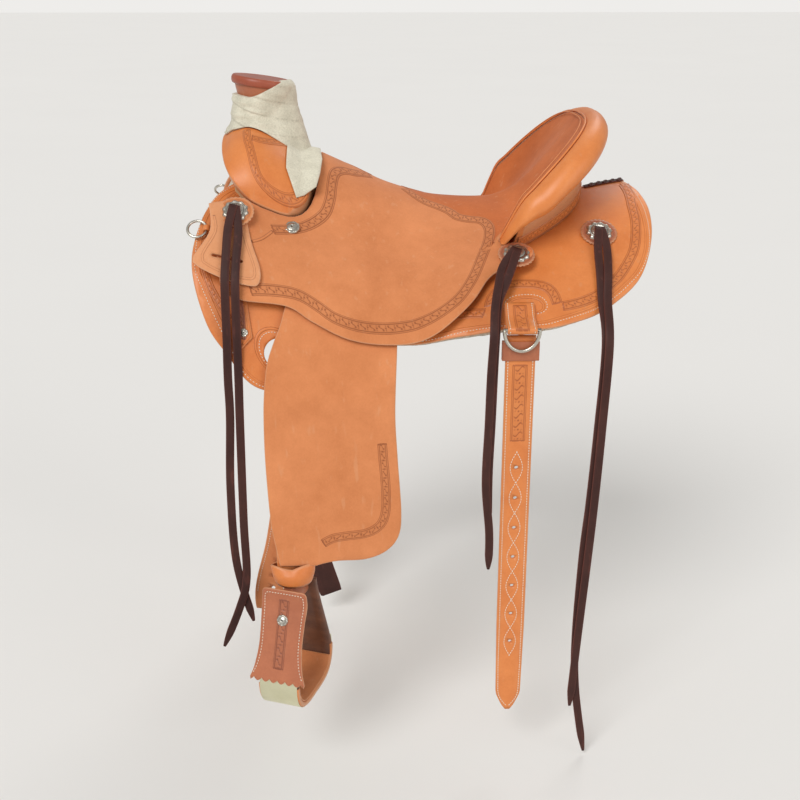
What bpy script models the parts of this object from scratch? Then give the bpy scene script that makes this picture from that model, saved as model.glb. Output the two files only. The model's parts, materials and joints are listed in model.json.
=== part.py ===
"""Wade saddle: a western saddle with a slick fork, built from separate leather, wood and metal pieces.

Frame: +X points to the rear of the saddle, -Y to the near (left) side, +Z up. The origin is on the
horse's back line, under the lowest part of the seat.

Most leather is drawn as a flat pattern and then draped. A pattern point is (x, s): x along the saddle
and s the distance round the side, measured from the middle line. A third number, d, is the height
above the face of the skirts, so layers of leather lie on each other as they do on the bench.
"""

import math
import bpy
import bmesh
from mathutils import Matrix, Vector

MM = 0.001

# Form of the tree: x, height of the middle line, roll of the shoulder (degrees) and rate of turn
# round the side (degrees per mm), all on the face of the skirts.
STATIONS = (
    (-300, 117, 12, 0.180),
    (-240, 107, 12, 0.180),
    (-120, 53, 8, 0.185),
    (0, 17, 6, 0.185),
    (80, 12, 4, 0.160),
    (150, 25, 4, 0.137),
    (230, 49, 6, 0.155),
    (300, 67, 10, 0.180),
    (360, 77, 12, 0.185),
)
SHOULDER_REACH = 25
STEEPEST = 90.0

# Clearances
GAP = 0.8
FIT = 0.3
TREE_GAP = 2.0
DISH_GAP = 6.0

# Leather and tree thicknesses
SKIRT_THICK = 4.0
FLEECE_THICK = 12.0
FLEECE_GAP = 1.7
SEAT_THICK = 4.0
FENDER_THICK = 4.5
STRAP_THICK = 4.0
COVER_THICK = 3.0
BAR_THICK = 12.0
FENDER_STANDOFF = 5.0
ROSETTE_THICK = 2.6
KEEPER_THICK = 3.5
STRING_THICK = 2.6
STRING_WIDTH = 12.0

# Heights above the skirt face that follow from the layers
BAR_LOW = GAP
BAR_HIGH = BAR_LOW + BAR_THICK
FENDER_LOW = FENDER_STANDOFF
FENDER_HIGH = FENDER_LOW + FENDER_THICK
JOCKEY_LOW = max(FENDER_HIGH + 5.0, BAR_HIGH + GAP)
JOCKEY_HIGH = JOCKEY_LOW + SEAT_THICK
FORK_LOW = BAR_HIGH + TREE_GAP - FIT

# Seat, cantle and roll
SEAT_LINE = ((-125, 122), (-77, 100), (-31, 78), (0, 67), (31, 58), (62, 53), (117, 50), (160, 52))
SEAT_SIDE = 150.0
CANTLE_X = 139.0
CANTLE_DEPTH = 134.0
CANTLE_HALF_WIDTH = 165.5
CANTLE_BASE_Z = 32.0
CANTLE_RISE = 143.6
CANTLE_END_HEIGHT = 23.0
CANTLE_THICK = 14.0
DISH_REACH = 150.0
DISH_REACH_END = 40.0

# Fork and horn
FORK_X = -192.0
FORK_HALF_LENGTH = 64.0
FORK_HALF_WIDTH = 124.0
FORK_LINE = ((-256, 142.8), (-238, 154.8), (-205, 162.8), (-165, 144.8), (-128, 115.8))
FORK_EDGE = 3.0
FORK_LEAN = 0.26
HORN_X = -216.0
HORN_SEAT_Z = 140.0
HORN_TILT = 8.0
NECK_RADIUS = 29.0
CAP_RADIUS = 45.5
CAP_THICK = 7.5
CAP_HEIGHT = 90.0
CAP_LEATHER = 3.0
WRAP_THICK = 15.0
WRAP_LOW = 28.0
WRAP_SHIFT = 5.0
WRAP_SIDE_DROP = 9.0
WRAP_TOP = 66.0

# Fittings
CONCHO_RADIUS = 19.0
CONCHO_HEIGHT = 6.0
ROSETTE_RADIUS = 27.0
SCALLOPS = 12
FRONT_CONCHO = (-238, 160)
SEAT_CONCHO = (160, 175)
REAR_CONCHO = (287, 137)
RIG_HOLE = (-178, 334)
RIG_HOLE_RADIUS = 21.0
KEEPER_LOW = JOCKEY_HIGH + 1.4
RIG_STRAP_THICK = 3.0
COLLAR_EYE_X = -279.0
ROLL_END_LOW = JOCKEY_HIGH + GAP + ROSETTE_THICK + CONCHO_HEIGHT * 0.5

# Fenders and stirrups
PIVOT_X = -151.4
PIVOT_Z = 15.0
SPLIT_RADIUS = 230.0
FENDER_SPLIT_LENGTH = 900.0
FENDER_FLARE_Z = -210.0
FENDER_FLARE = 0.10
NECK_X = -166.0
NECK_Y = 280.0
NECK_TOP_Z = -430.0
NECK_LOW_Z = -464.0
TAIL_TOP_Z = -270.0
HOBBLE_BAND = ((31, 14, 285.5, -433.5), (30, 24, 283, -446), (26, 25.5, 280, -462))
BOLT_Z = -483.0
BOLT_RADIUS = 4.0
ROLLER_RADIUS = 8.5
STIRRUP_TURN = -20.0
STIRRUP_WIDTH = 62.0
STIRRUP_TOP_WIDTH = 48.0
STIRRUP_WALL = 8.0
PANEL_THICK = 3.0
LEATHER_WIDTH = 46.0
LEATHER_THICK = 5.0

# Rear billets
BILLET_SIDE = "near"
BILLET_HOLES = 7
BILLET_HOLE_TOP = -293.0
BILLET_HOLE_PITCH = 48.0
BILLET_HOLE_RADIUS = 2.8
KEEPER_TOP_Z = -103.0
KEEPER_LOW_Z = -131.0
KEEPER_WALL = 2.0
BILLET_X = 158.0
BILLET_WIDTH = 42.0
BILLET_THICK = 4.0
OFF_BILLET_THICK = 2.6
BILLET_TOP = 250
BILLET_TIP_Z = -703.0
BILLET_SPLIT_Z = -94.0
BILLET_SPLIT_RADIUS = 34.0
BILLET_SPLIT_LENGTH = 160.0
BILLET_POINT = 40.0
RIG_STRAP_WIDTH = 41.0
DEE_WIDTH = 49.0
DEE_DROP = 30.0
RING_WIRE = 2.8
DEE_BAR = (300, 13.5)
D_RING_RADIUS = 13.5
D_RING_WIRE = 2.0

# Outlines and lines of the hanging pieces, all in millimetres
FENDER_FRONT = [(-163, -40), (-174, -82), (-185, -109), (-195, -140), (-200, -189), (-201, -250),
                (-199, -310), (-195, -369), (-189, -405), (-184, -432)]
FENDER_REAR = [(-131, -432), (-122, -429), (-99, -425), (-60, -423), (-30, -411), (-12, -388),
               (-8, -350), (-13, -270), (-16, -200), (-12, -115), (-12, -60)]
FENDER_HOLD = ((-70, 114.6), (-150, 121.2))
LEATHER_TAIL = ((-174, 247, -354), (-186, 236, -426), (-203, 226, -493),
                (-211, 219, -545))
OFF_BILLET_LINE = ((-178, 234, -215), (-192, 226, -310), (-198, 205, -430), (-184, 188, -550),
                   (-156, 182, -650), (-131, 182, -735), (-127, 182, -748))
ROLL_PROFILE = ((0.2, -1.0), (8, 3.5), (17, 3.0), (27, -4.0), (33, -16.0), (30, -30.0), (21, -36.0),
                (11, -30.0), (5.5, -22.0), (0.2, -14.0))

# Strings: pattern points (x, s, d), then free points (x, y, z) with y outward
FRONT_STRINGS = (
    (((-239.5, 158, 38), (-246, 192, 33), (-248, 232, 31.5), (-249, 264, 31), (-249, 300, 20),
      (-249, 335, 10)),
     ((-250, 250, -160), (-250, 250, -217), (-255, 250, -329), (-252, 250, -449), (-231, 250, -548))),
    (((-236.5, 159, 37.2), (-232, 192, 33), (-234, 232, 31.5), (-235, 264, 31), (-235, 300, 20),
      (-235, 335, 10)),
     ((-235, 252, -160), (-236, 254, -221), (-238, 254, -378), (-238, 254, -473), (-251, 254, -524),
      (-277, 254, -589))))
SEAT_STRINGS = (
    (((158.5, 174, 31.9), (138, 200, 29), (128, 235, 27), (122, 265, 26)),
     ((119, 281, -94), (117, 277, -150), (116, 275, -221), (114, 275, -315), (121, 275, -395),
      (121, 275, -453))),
    (((161.5, 175, 31.1), (152, 200, 29), (141, 225, 23), (128, 252, 20)),
     ((122, 276, -94), (121, 273, -150), (120, 271.5, -221), (118, 271.5, -300), (119, 271.5, -380))))
REAR_STRINGS = (
    (((285.5, 136, 13.2), (280, 170, 9), (279, 215, 6), (278, 255, 5)),
     ((278, 262, -112), (274, 263, -239), (269, 263, -349), (263, 263, -447), (260, 263, -585),
      (265, 263, -675), (283, 263, -788))),
    (((288.5, 137, 12.4), (293, 170, 9), (290, 215, 10), (286, 255, 9)),
     ((282, 267, -112), (279, 267, -239), (275, 267, -349), (270, 267, -447), (262, 267, -585),
      (256, 267, -700))))

# Modelling steps
SECTION_STEP = 4.0
SECTION_LENGTH = 800.0
GRID_X = 40
GRID_S = 30
SIDES = (("near", -1), ("off", 1))

for old in list(bpy.data.objects):
    bpy.data.objects.remove(old, do_unlink=True)

saddle = bpy.data.collections.new("wade_saddle")
cutters = bpy.data.collections.new("cutters")
bpy.context.scene.collection.children.link(saddle)
bpy.context.scene.collection.children.link(cutters)


def finish(name, colour, roughness, metallic=0.0):
    """Make one piece's own material."""
    material = bpy.data.materials.new(name)
    material.use_nodes = True
    shader = material.node_tree.nodes["Principled BSDF"]
    shader.inputs["Base Color"].default_value = (*colour, 1.0)
    shader.inputs["Roughness"].default_value = roughness
    shader.inputs["Metallic"].default_value = metallic
    return material


FINISHES = {
    # colour, roughness, metallic
    "rough_leather": ((0.60, 0.24, 0.12), 0.85, 0.0),
    "smooth_leather": ((0.66, 0.22, 0.05), 0.45, 0.0),
    "dark_leather": ((0.07, 0.03, 0.025), 0.5, 0.0),
    "fleece": ((0.72, 0.62, 0.45), 1.0, 0.0),
    "mulehide": ((0.62, 0.60, 0.50), 0.9, 0.0),
    "rawhide_wood": ((0.60, 0.45, 0.25), 0.6, 0.0),
    "silver": ((0.75, 0.75, 0.72), 0.25, 1.0),
    "tread": ((0.68, 0.66, 0.42), 0.5, 0.0),
}


def add_object(name, mesh, kind):
    """Put a mesh in the saddle's collection with a material of its own."""
    piece = bpy.data.objects.new(name, mesh)
    saddle.objects.link(piece)
    colour, roughness, metallic = FINISHES[kind]
    mesh.materials.clear()
    mesh.materials.append(finish(name, colour, roughness, metallic))
    return piece


def between(table, x, column):
    """Read a column of a table at x, along a smooth curve through its rows."""
    count = len(table)
    x = min(max(x, table[0][0]), table[-1][0])
    i = 0
    while i < count - 2 and x > table[i + 1][0]:
        i += 1
    before, here = table[max(i - 1, 0)], table[i]
    there, after = table[i + 1], table[min(i + 2, count - 1)]
    span = there[0] - here[0]
    t = (x - here[0]) / span
    slope_here = (there[column] - before[column]) / (there[0] - before[0]) * span
    slope_there = (after[column] - here[column]) / (after[0] - here[0]) * span
    return ((2 * t**3 - 3 * t**2 + 1) * here[column] + (t**3 - 2 * t**2 + t) * slope_here
            + (3 * t**2 - 2 * t**3) * there[column] + (t**3 - t**2) * slope_there)


section_cache = {}


def section(x):
    """Half section of the skirt face at x: lists of y, z and slope, every few millimetres of s."""
    key = round(x, 2)
    if key not in section_cache:
        height = between(STATIONS, x, 1)
        shoulder = between(STATIONS, x, 2)
        rate = between(STATIONS, x, 3)
        rows = [(0.0, height, 0.0)]
        for i in range(1, int(SECTION_LENGTH / SECTION_STEP) + 1):
            s = i * SECTION_STEP
            turn = shoulder * math.tanh(s / SHOULDER_REACH) + rate * s
            slope = math.radians(min(turn, STEEPEST))
            y, z, last = rows[-1]
            y += 0.5 * (math.cos(last) + math.cos(slope)) * SECTION_STEP
            z -= 0.5 * (math.sin(last) + math.sin(slope)) * SECTION_STEP
            rows.append((y, z, slope))
        section_cache[key] = rows
    return section_cache[key]


def drape(x, s, d=0.0):
    """World point, in millimetres, of the pattern point (x, s) at height d. The near side has s < 0."""
    rows = section(x)
    place = min(abs(s) / SECTION_STEP, len(rows) - 1.001)
    i = int(place)
    t = place - i
    y = rows[i][0] * (1 - t) + rows[i + 1][0] * t
    z = rows[i][1] * (1 - t) + rows[i + 1][1] * t
    slope = rows[i][2] * (1 - t) + rows[i + 1][2] * t
    y += d * math.sin(slope)
    return Vector((x, y if s >= 0 else -y, z + d * math.cos(slope)))


def undrape(point):
    """Pattern point (x, s, d) of a world point on the off side."""
    s, d = abs(point[1]), 0.0
    for _ in range(12):
        here = drape(point[0], s, d)
        ahead = drape(point[0], s + 1.0, d)
        above = drape(point[0], s, d + 1.0)
        a, c = ahead.y - here.y, ahead.z - here.z
        b, e = above.y - here.y, above.z - here.z
        miss_y, miss_z = point[1] - here.y, point[2] - here.z
        scale = a * e - b * c
        s += (miss_y * e - b * miss_z) / scale
        d += (a * miss_z - miss_y * c) / scale
        s = max(s, 0.0)
    return point[0], s, d


def s_at_height(x, z, d=0.0):
    """Distance round the side at which the face at height d has come down to z."""
    low, high = 0.0, SECTION_LENGTH - 2 * SECTION_STEP
    for _ in range(30):
        middle = 0.5 * (low + high)
        if drape(x, middle, d).z > z:
            low = middle
        else:
            high = middle
    return low


def flow(points, step=24.0):
    """Smooth run of points through a few chosen ones, without the last, so that runs join in corners."""
    run = []
    last = len(points) - 1
    for i in range(last):
        p0, p1 = points[max(i - 1, 0)], points[i]
        p2, p3 = points[i + 1], points[min(i + 2, last)]
        length = math.dist(p1, p2)
        pieces = max(1, round(length / step))
        for k in range(pieces):
            t = k / pieces
            run.append(tuple(0.5 * (2 * b + (c - a) * t + (2 * a - 5 * b + 4 * c - d) * t * t
                                    + (3 * b - a - 3 * c + d) * t**3)
                             for a, b, c, d in zip(p0, p1, p2, p3)))
    return run


def circle(centre, radius, count, wave=0.0, waves=0):
    """Closed outline of a round pattern piece, with an even wave for a scalloped edge."""
    outline = []
    for i in range(count):
        turn = 2 * math.pi * i / count
        r = radius + wave * math.cos(waves * turn)
        outline.append((centre[0] + r * math.cos(turn), centre[1] + r * math.sin(turn)))
    return outline


def mirrored(half):
    """Whole outline from the half with s >= 0, which starts and ends on the middle line."""
    other = [(x, -s) for x, s in reversed(half) if s > 0.01]
    return half + other


def height_at(value, x, s):
    return value(x, s) if callable(value) else value


def cut_grid(flat, step_x, step_s):
    """Cut a flat outline into triangles along a grid that all the layers share."""
    for axis, step in ((0, step_x), (1, step_s)):
        values = [vert.co[axis] for vert in flat.verts]
        line = math.ceil(min(values) / step) * step
        while line < max(values):
            if line - min(values) > 0.5 and max(values) - line > 0.5:
                spot, normal = [0.0] * 3, [0.0] * 3
                spot[axis], normal[axis] = line, 1.0
                geometry = flat.verts[:] + flat.edges[:] + flat.faces[:]
                bmesh.ops.bisect_plane(flat, geom=geometry, dist=0.4, plane_co=spot, plane_no=normal)
            line += step
    bmesh.ops.triangulate(flat, faces=flat.faces[:], quad_method="FIXED", ngon_method="BEAUTY")


def finished_mesh(name, shape):
    """Turn a bmesh into a mesh with its faces outward."""
    bmesh.ops.recalc_face_normals(shape, faces=shape.faces[:])
    mesh = bpy.data.meshes.new(name)
    shape.to_mesh(mesh)
    shape.free()
    return mesh


def draped_mesh(name, outline, low, high, side=1, lean=0.0, fine=None):
    """Cut a flat pattern, give it thickness and drape it from height low to height high."""
    flat = bmesh.new()
    flat.faces.new([flat.verts.new((x, s, 0.0)) for x, s in outline])
    cut_grid(flat, *(fine or (GRID_X, GRID_S)))
    result = bmesh.ops.extrude_face_region(flat, geom=flat.faces[:])
    raised = {item for item in result["geom"] if isinstance(item, bmesh.types.BMVert)}
    for vert in flat.verts:
        x, s = vert.co.x, vert.co.y
        bottom, top = height_at(low, x, s), height_at(high, x, s)
        d = top if vert in raised else bottom
        point = drape(x, side * s, d)
        point.x -= lean * max(d - FORK_LOW, 0.0)
        vert.co = point * MM
    return finished_mesh(name, flat)


def draped(name, outline, low, high, kind, side=1, **options):
    """One leather or wood piece, draped over the tree."""
    return add_object(name, draped_mesh(name, outline, low, high, side, **options), kind)


def loft_mesh(name, bodies):
    """Closed bodies, each lofted through rings with the same number of points and capped at its ends."""
    shape = bmesh.new()
    for rings in bodies:
        rows = [[shape.verts.new(Vector(point) * MM) for point in ring] for ring in rings]
        count = len(rows[0])
        for row, following in zip(rows, rows[1:]):
            for i in range(count):
                k = (i + 1) % count
                shape.faces.new((row[i], row[k], following[k], following[i]))
        shape.faces.new(rows[0])
        shape.faces.new(rows[-1])
    bmesh.ops.triangulate(shape, faces=shape.faces[:])
    return finished_mesh(name, shape)


def ring_mesh(name, rings):
    """Closed body lofted round a loop, its last ring joined to its first."""
    shape = bmesh.new()
    rows = [[shape.verts.new(Vector(point) * MM) for point in ring] for ring in rings]
    count = len(rows[0])
    for row, following in zip(rows, rows[1:] + rows[:1]):
        for i in range(count):
            k = (i + 1) % count
            shape.faces.new((row[i], row[k], following[k], following[i]))
    return finished_mesh(name, shape)


def turned(name, profile, kind, steps=24, closed=False):
    """Turned piece: a profile of (radius, height), outer side from top to bottom, with a Screw."""
    shape = bmesh.new()
    verts = [shape.verts.new((r * MM, 0.0, z * MM)) for r, z in profile]
    for a, b in zip(verts, verts[1:]):
        shape.edges.new((a, b))
    if closed:
        shape.edges.new((verts[-1], verts[0]))
    mesh = bpy.data.meshes.new(name)
    shape.to_mesh(mesh)
    shape.free()
    piece = add_object(name, mesh, kind)
    screw = piece.modifiers.new("turn", "SCREW")
    screw.steps = steps
    screw.render_steps = steps
    screw.use_merge_vertices = True
    screw.merge_threshold = 0.00005
    return piece


def strap_rings(path, widths, thick, across=Vector((1.0, 0.0, 0.0))):
    """Rectangular sections along a path of world points, square to it."""
    rings = []
    points = [Vector(p) for p in path]
    for i, point in enumerate(points):
        along = (points[min(i + 1, len(points) - 1)] - points[max(i - 1, 0)]).normalized()
        wide = (across - along * across.dot(along)).normalized()
        deep = along.cross(wide)
        w = (widths[i] if isinstance(widths, (list, tuple)) else widths) / 2
        t = thick / 2
        rings.append([point + wide * w + deep * t, point - wide * w + deep * t,
                      point - wide * w - deep * t, point + wide * w - deep * t])
    return rings


def frame_at(x, s, d, side):
    """Placement on the draped face: local Z square to it and local Y up the side."""
    point = drape(x, side * s, d)
    up_side = (drape(x, side * (s - 2.0), d) - drape(x, side * (s + 2.0), d)).normalized()
    along = (drape(x + 2.0, side * s, d) - drape(x - 2.0, side * s, d)).normalized()
    normal = along.cross(up_side).normalized() * (1 if side < 0 else -1)
    along = up_side.cross(normal)
    turn = Matrix((along, up_side, normal)).transposed()
    return point, turn


def place(piece, x, s, d, side):
    """Stand a piece on the draped face."""
    point, turn = frame_at(x, s, d, side)
    piece.location = point * MM
    piece.rotation_euler = turn.to_euler()


def join(piece, mesh, placement=None):
    """Join a second closed body to a piece."""
    other = bpy.data.objects.new(piece.name + "_joined", mesh)
    cutters.objects.link(other)
    if placement is not None:
        other.matrix_world = placement
    cut(piece, other, "UNION")


def at(point, turn=None):
    """Placement matrix for a point in millimetres."""
    matrix = Matrix.Translation(Vector(point) * MM)
    return matrix @ turn.to_4x4() if turn else matrix


def hang(name, point, pieces, parent=None):
    """Parent pieces to an empty on their joint's axis, leaving them where they are."""
    axis = bpy.data.objects.new(name, None)
    saddle.objects.link(axis)
    place_at = Vector(point) * MM
    axis.location = place_at
    for piece in pieces:
        piece.parent = axis
        piece.location = Vector(piece.location) - place_at
    return axis


def tube_mesh(outer, inner):
    """Open-ended tube lofted down through outer rings and back up through inner rings."""
    return ring_mesh("tube", outer + inner[::-1])


def ring_of(profile, steps=16):
    """Ring turned about local Z from a closed profile of (radius, height)."""
    rings = []
    for i in range(steps):
        turn = 2 * math.pi * i / steps
        rings.append([(r * math.cos(turn), r * math.sin(turn), z) for r, z in profile])
    return ring_mesh("ring", rings)


def wire_ring(radius, wire, around=20, through=8):
    """Round wire ring in its own XY plane."""
    profile = circle((radius, 0.0), wire, through)
    return ring_of(profile, around)


# The cantle's rim, as a curve in the pattern

def rim(angle):
    """Pattern point and height of the rim: angle 0 is the middle, 90 degrees the near and off ends."""
    x = CANTLE_X + CANTLE_DEPTH * math.cos(angle) ** 0.8
    y = CANTLE_HALF_WIDTH * math.sin(angle) ** 0.66
    z = CANTLE_BASE_Z + CANTLE_RISE * math.cos(angle) ** 0.67
    return undrape((x, y, z))


RIM_STEPS = 12
RIM = [rim(math.radians(90) * i / RIM_STEPS) for i in range(RIM_STEPS)]
RIM.append((CANTLE_X, RIM[-1][1] + 3.0, CANTLE_END_HEIGHT + GAP))
RIM_END_S = RIM[-1][1]


def rim_values(s):
    """x and height of the rim at s."""
    s = min(abs(s), RIM_END_S)
    for a, b in zip(RIM, RIM[1:]):
        if s <= b[1]:
            t = (s - a[1]) / (b[1] - a[1])
            return a[0] * (1 - t) + b[0] * t, a[2] * (1 - t) + b[2] * t
    return RIM[-1][0], RIM[-1][2]


def rim_offset(distance, first=0, last=RIM_STEPS):
    """The rim's pattern points moved outwards by a distance."""
    points = []
    for i in range(first, last + 1):
        a, b = RIM[max(i - 1, 0)], RIM[min(i + 1, RIM_STEPS)]
        dx, ds = b[0] - a[0], b[1] - a[1]
        if i == 0:
            dx, ds = 0.0, 1.0
        size = math.hypot(dx, ds)
        points.append((RIM[i][0] + distance * ds / size, max(RIM[i][1] - distance * dx / size, 0.0)))
    return points


def smooth_fall(t):
    """1 at t = 0, falling smoothly to 0 at t = 1."""
    t = min(max(t, 0.0), 1.0)
    return 1 - t * t * (3 - 2 * t)


def seat_top(x, s):
    """Height of the seat's face over the pattern."""
    s = abs(s)
    crown = between(SEAT_LINE, x, 1) - between(STATIONS, x, 1)
    level = JOCKEY_HIGH + max(crown - JOCKEY_HIGH, 0.0) * smooth_fall(s / SEAT_SIDE)
    rim_x, rim_d = rim_values(s)
    share = min(s / RIM_END_S, 1.0)
    reach = DISH_REACH * (1 - share) + DISH_REACH_END * share
    t = min(max((rim_x - x) / reach, 0.0), 1.0)
    fade = smooth_fall((s - RIM_END_S) / 6.0) * smooth_fall((x - rim_x) / 5.0)
    return level + max(rim_d - level, 0.0) * (1 - t) ** 1.7 * fade


def seat_under(x, s):
    return seat_top(x, s) - SEAT_THICK


# Outlines of the pattern pieces, near and off alike

SKIRT_OUTLINE = (
    flow([(-235, 66), (-272, 119), (-294, 190), (-298, 250), (-277, 323), (-249, 362), (-225, 389),
          (-200, 395), (-160, 384), (-128, 350), (-104, 296), (-60, 280), (60, 272), (130, 283),
          (192, 295), (250, 283), (300, 255), (340, 218), (362, 160), (368, 100), (360, 50), (344, 3)])
    + [(344, 3), (262, 3), (240, 30), (-160, 30)])
FLEECE_OUTLINE = (
    flow([(-233, 68), (-268, 121), (-290, 191), (-293, 250), (-272, 300), (-200, 306), (-104, 290),
          (-60, 277), (60, 268), (130, 279), (192, 291), (248, 279), (297, 252), (336, 216), (358, 160),
          (364, 100), (356, 52), (341, 6)])
    + [(341, 6), (265, 6), (243, 33), (-158, 33)])
BAR_OUTLINE = flow([(-240, 70), (-244, 100), (-228, 118), (-160, 120), (-60, 112), (100, 106),
                    (190, 104), (232, 84), (234, 60), (190, 36), (0, 32), (-200, 36), (-240, 70)])


def superellipse(grow, power=2.8, count=40):
    """The fork's base, seen from above, larger all round by grow."""
    outline = []
    for i in range(count):
        turn = 2 * math.pi * (i + 0.5) / count
        c, k = math.cos(turn), math.sin(turn)
        x = FORK_X + (FORK_HALF_LENGTH + grow) * math.copysign(abs(c) ** (2 / power), c)
        s = (FORK_HALF_WIDTH + grow) * math.copysign(abs(k) ** (2 / power), k)
        outline.append((x, s))
    return outline


def seat_half_outline():
    """Half of the seat's pattern, from the middle of the fork's notch to the middle of the cantle."""
    notch = [(x, s) for x, s in superellipse(COVER_THICK + TREE_GAP + 2.5) if s > 0 and x > FORK_X - 40]
    notch = [(notch[0][0], 0.0)] + notch
    front = flow([notch[-1], (-246, 142), (-259, 170), (-262, 230), (-254, 279)])
    lower = flow([(-254, 279), (-224, 281), (-165, 268), (-131, 277), (-81, 287), (-17, 281), (42, 268),
                  (92, 235), (119, 203), (140, 194), (160, 195), (180, 186), (184, 168), (172, 156),
                  (CANTLE_X + 6, RIM_END_S + 2)])
    back = [(x, s) for x, s, _ in reversed(RIM)]
    return notch[:-1] + front + lower + back


def make_skirts(suffix, side):
    """Skirt with the front rigging in its leather, and the fleece that lines it."""
    skirt = draped("skirt_" + suffix, SKIRT_OUTLINE, -SKIRT_THICK, 0.0, "smooth_leather", side)
    point, turn = frame_at(*RIG_HOLE, 0.0, side)
    bpy.ops.mesh.primitive_cylinder_add(vertices=24, radius=RIG_HOLE_RADIUS * MM, depth=40 * MM,
                                        location=point * MM, rotation=turn.to_euler())
    cut(skirt, bpy.context.object)


def make_fleece(suffix, side):
    """Fleece that lines a skirt."""
    high = -SKIRT_THICK - FLEECE_GAP
    draped("fleece_" + suffix, FLEECE_OUTLINE, high - FLEECE_THICK, high, "fleece", side, fine=(40, 45))


def cut(piece, cutter, operation="DIFFERENCE"):
    """Cut a piece with a hidden cutter."""
    for collection in list(cutter.users_collection):
        collection.objects.unlink(cutter)
    if cutter.name not in cutters.objects:
        cutters.objects.link(cutter)
    cutter.hide_render = True
    cutter.display_type = "WIRE"
    boolean = piece.modifiers.new("cut", "BOOLEAN")
    boolean.operation = operation
    boolean.object = cutter


def make_tree():
    """Bars, ground seat and cantle: the wooden tree under the leather."""
    for suffix, side in SIDES:
        draped("tree_bar_" + suffix, BAR_OUTLINE, BAR_LOW, BAR_HIGH, "rawhide_wood", side, fine=(60, 30))
    wide = RIM_END_S - 14.0
    front_x = FORK_X + FORK_HALF_LENGTH + COVER_THICK + TREE_GAP + 3.0
    side_edge = flow([(front_x, 60.0), (-80, 92), (60, 82), (118, 74)])
    inner = [(x, s) for x, s in reversed(rim_offset(-CANTLE_THICK - GAP)) if s < wide - 34]
    draped("ground_seat", mirrored([(front_x, 0.0)] + side_edge + inner), BAR_HIGH + TREE_GAP + 2 * GAP,
           lambda x, s: seat_under(x, s) - TREE_GAP - max(x - 118.0, 0.0) * 0.05, "rawhide_wood")
    outer = [(x, s) for x, s in rim_offset(-GAP) if s < wide]
    inner = [(x, s) for x, s in rim_offset(-CANTLE_THICK) if s < wide - 8]
    draped("tree_cantle", band(outer, inner), BAR_HIGH + TREE_GAP,
           lambda x, s: seat_under(x, s) - DISH_GAP, "rawhide_wood")


def band(outer, inner):
    """Outline of a band that crosses the middle line, from the halves of its two edges."""
    far = [(x, -s) for x, s in reversed(outer) if s > 0.01]
    back = [(x, -s) for x, s in inner if s > 0.01]
    return far + outer + inner[::-1] + back


def fork_top(x, s):
    """Height of the fork over the pattern: full at the middle, falling to the bars at its sides."""
    full = between(FORK_LINE, x, 1) - between(STATIONS, x, 1)
    share = min(abs(s) / FORK_HALF_WIDTH, 1.0)
    edge = FORK_LOW + FORK_EDGE
    return edge + (full - edge) * (1 - share**2.4) ** 0.75


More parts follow.
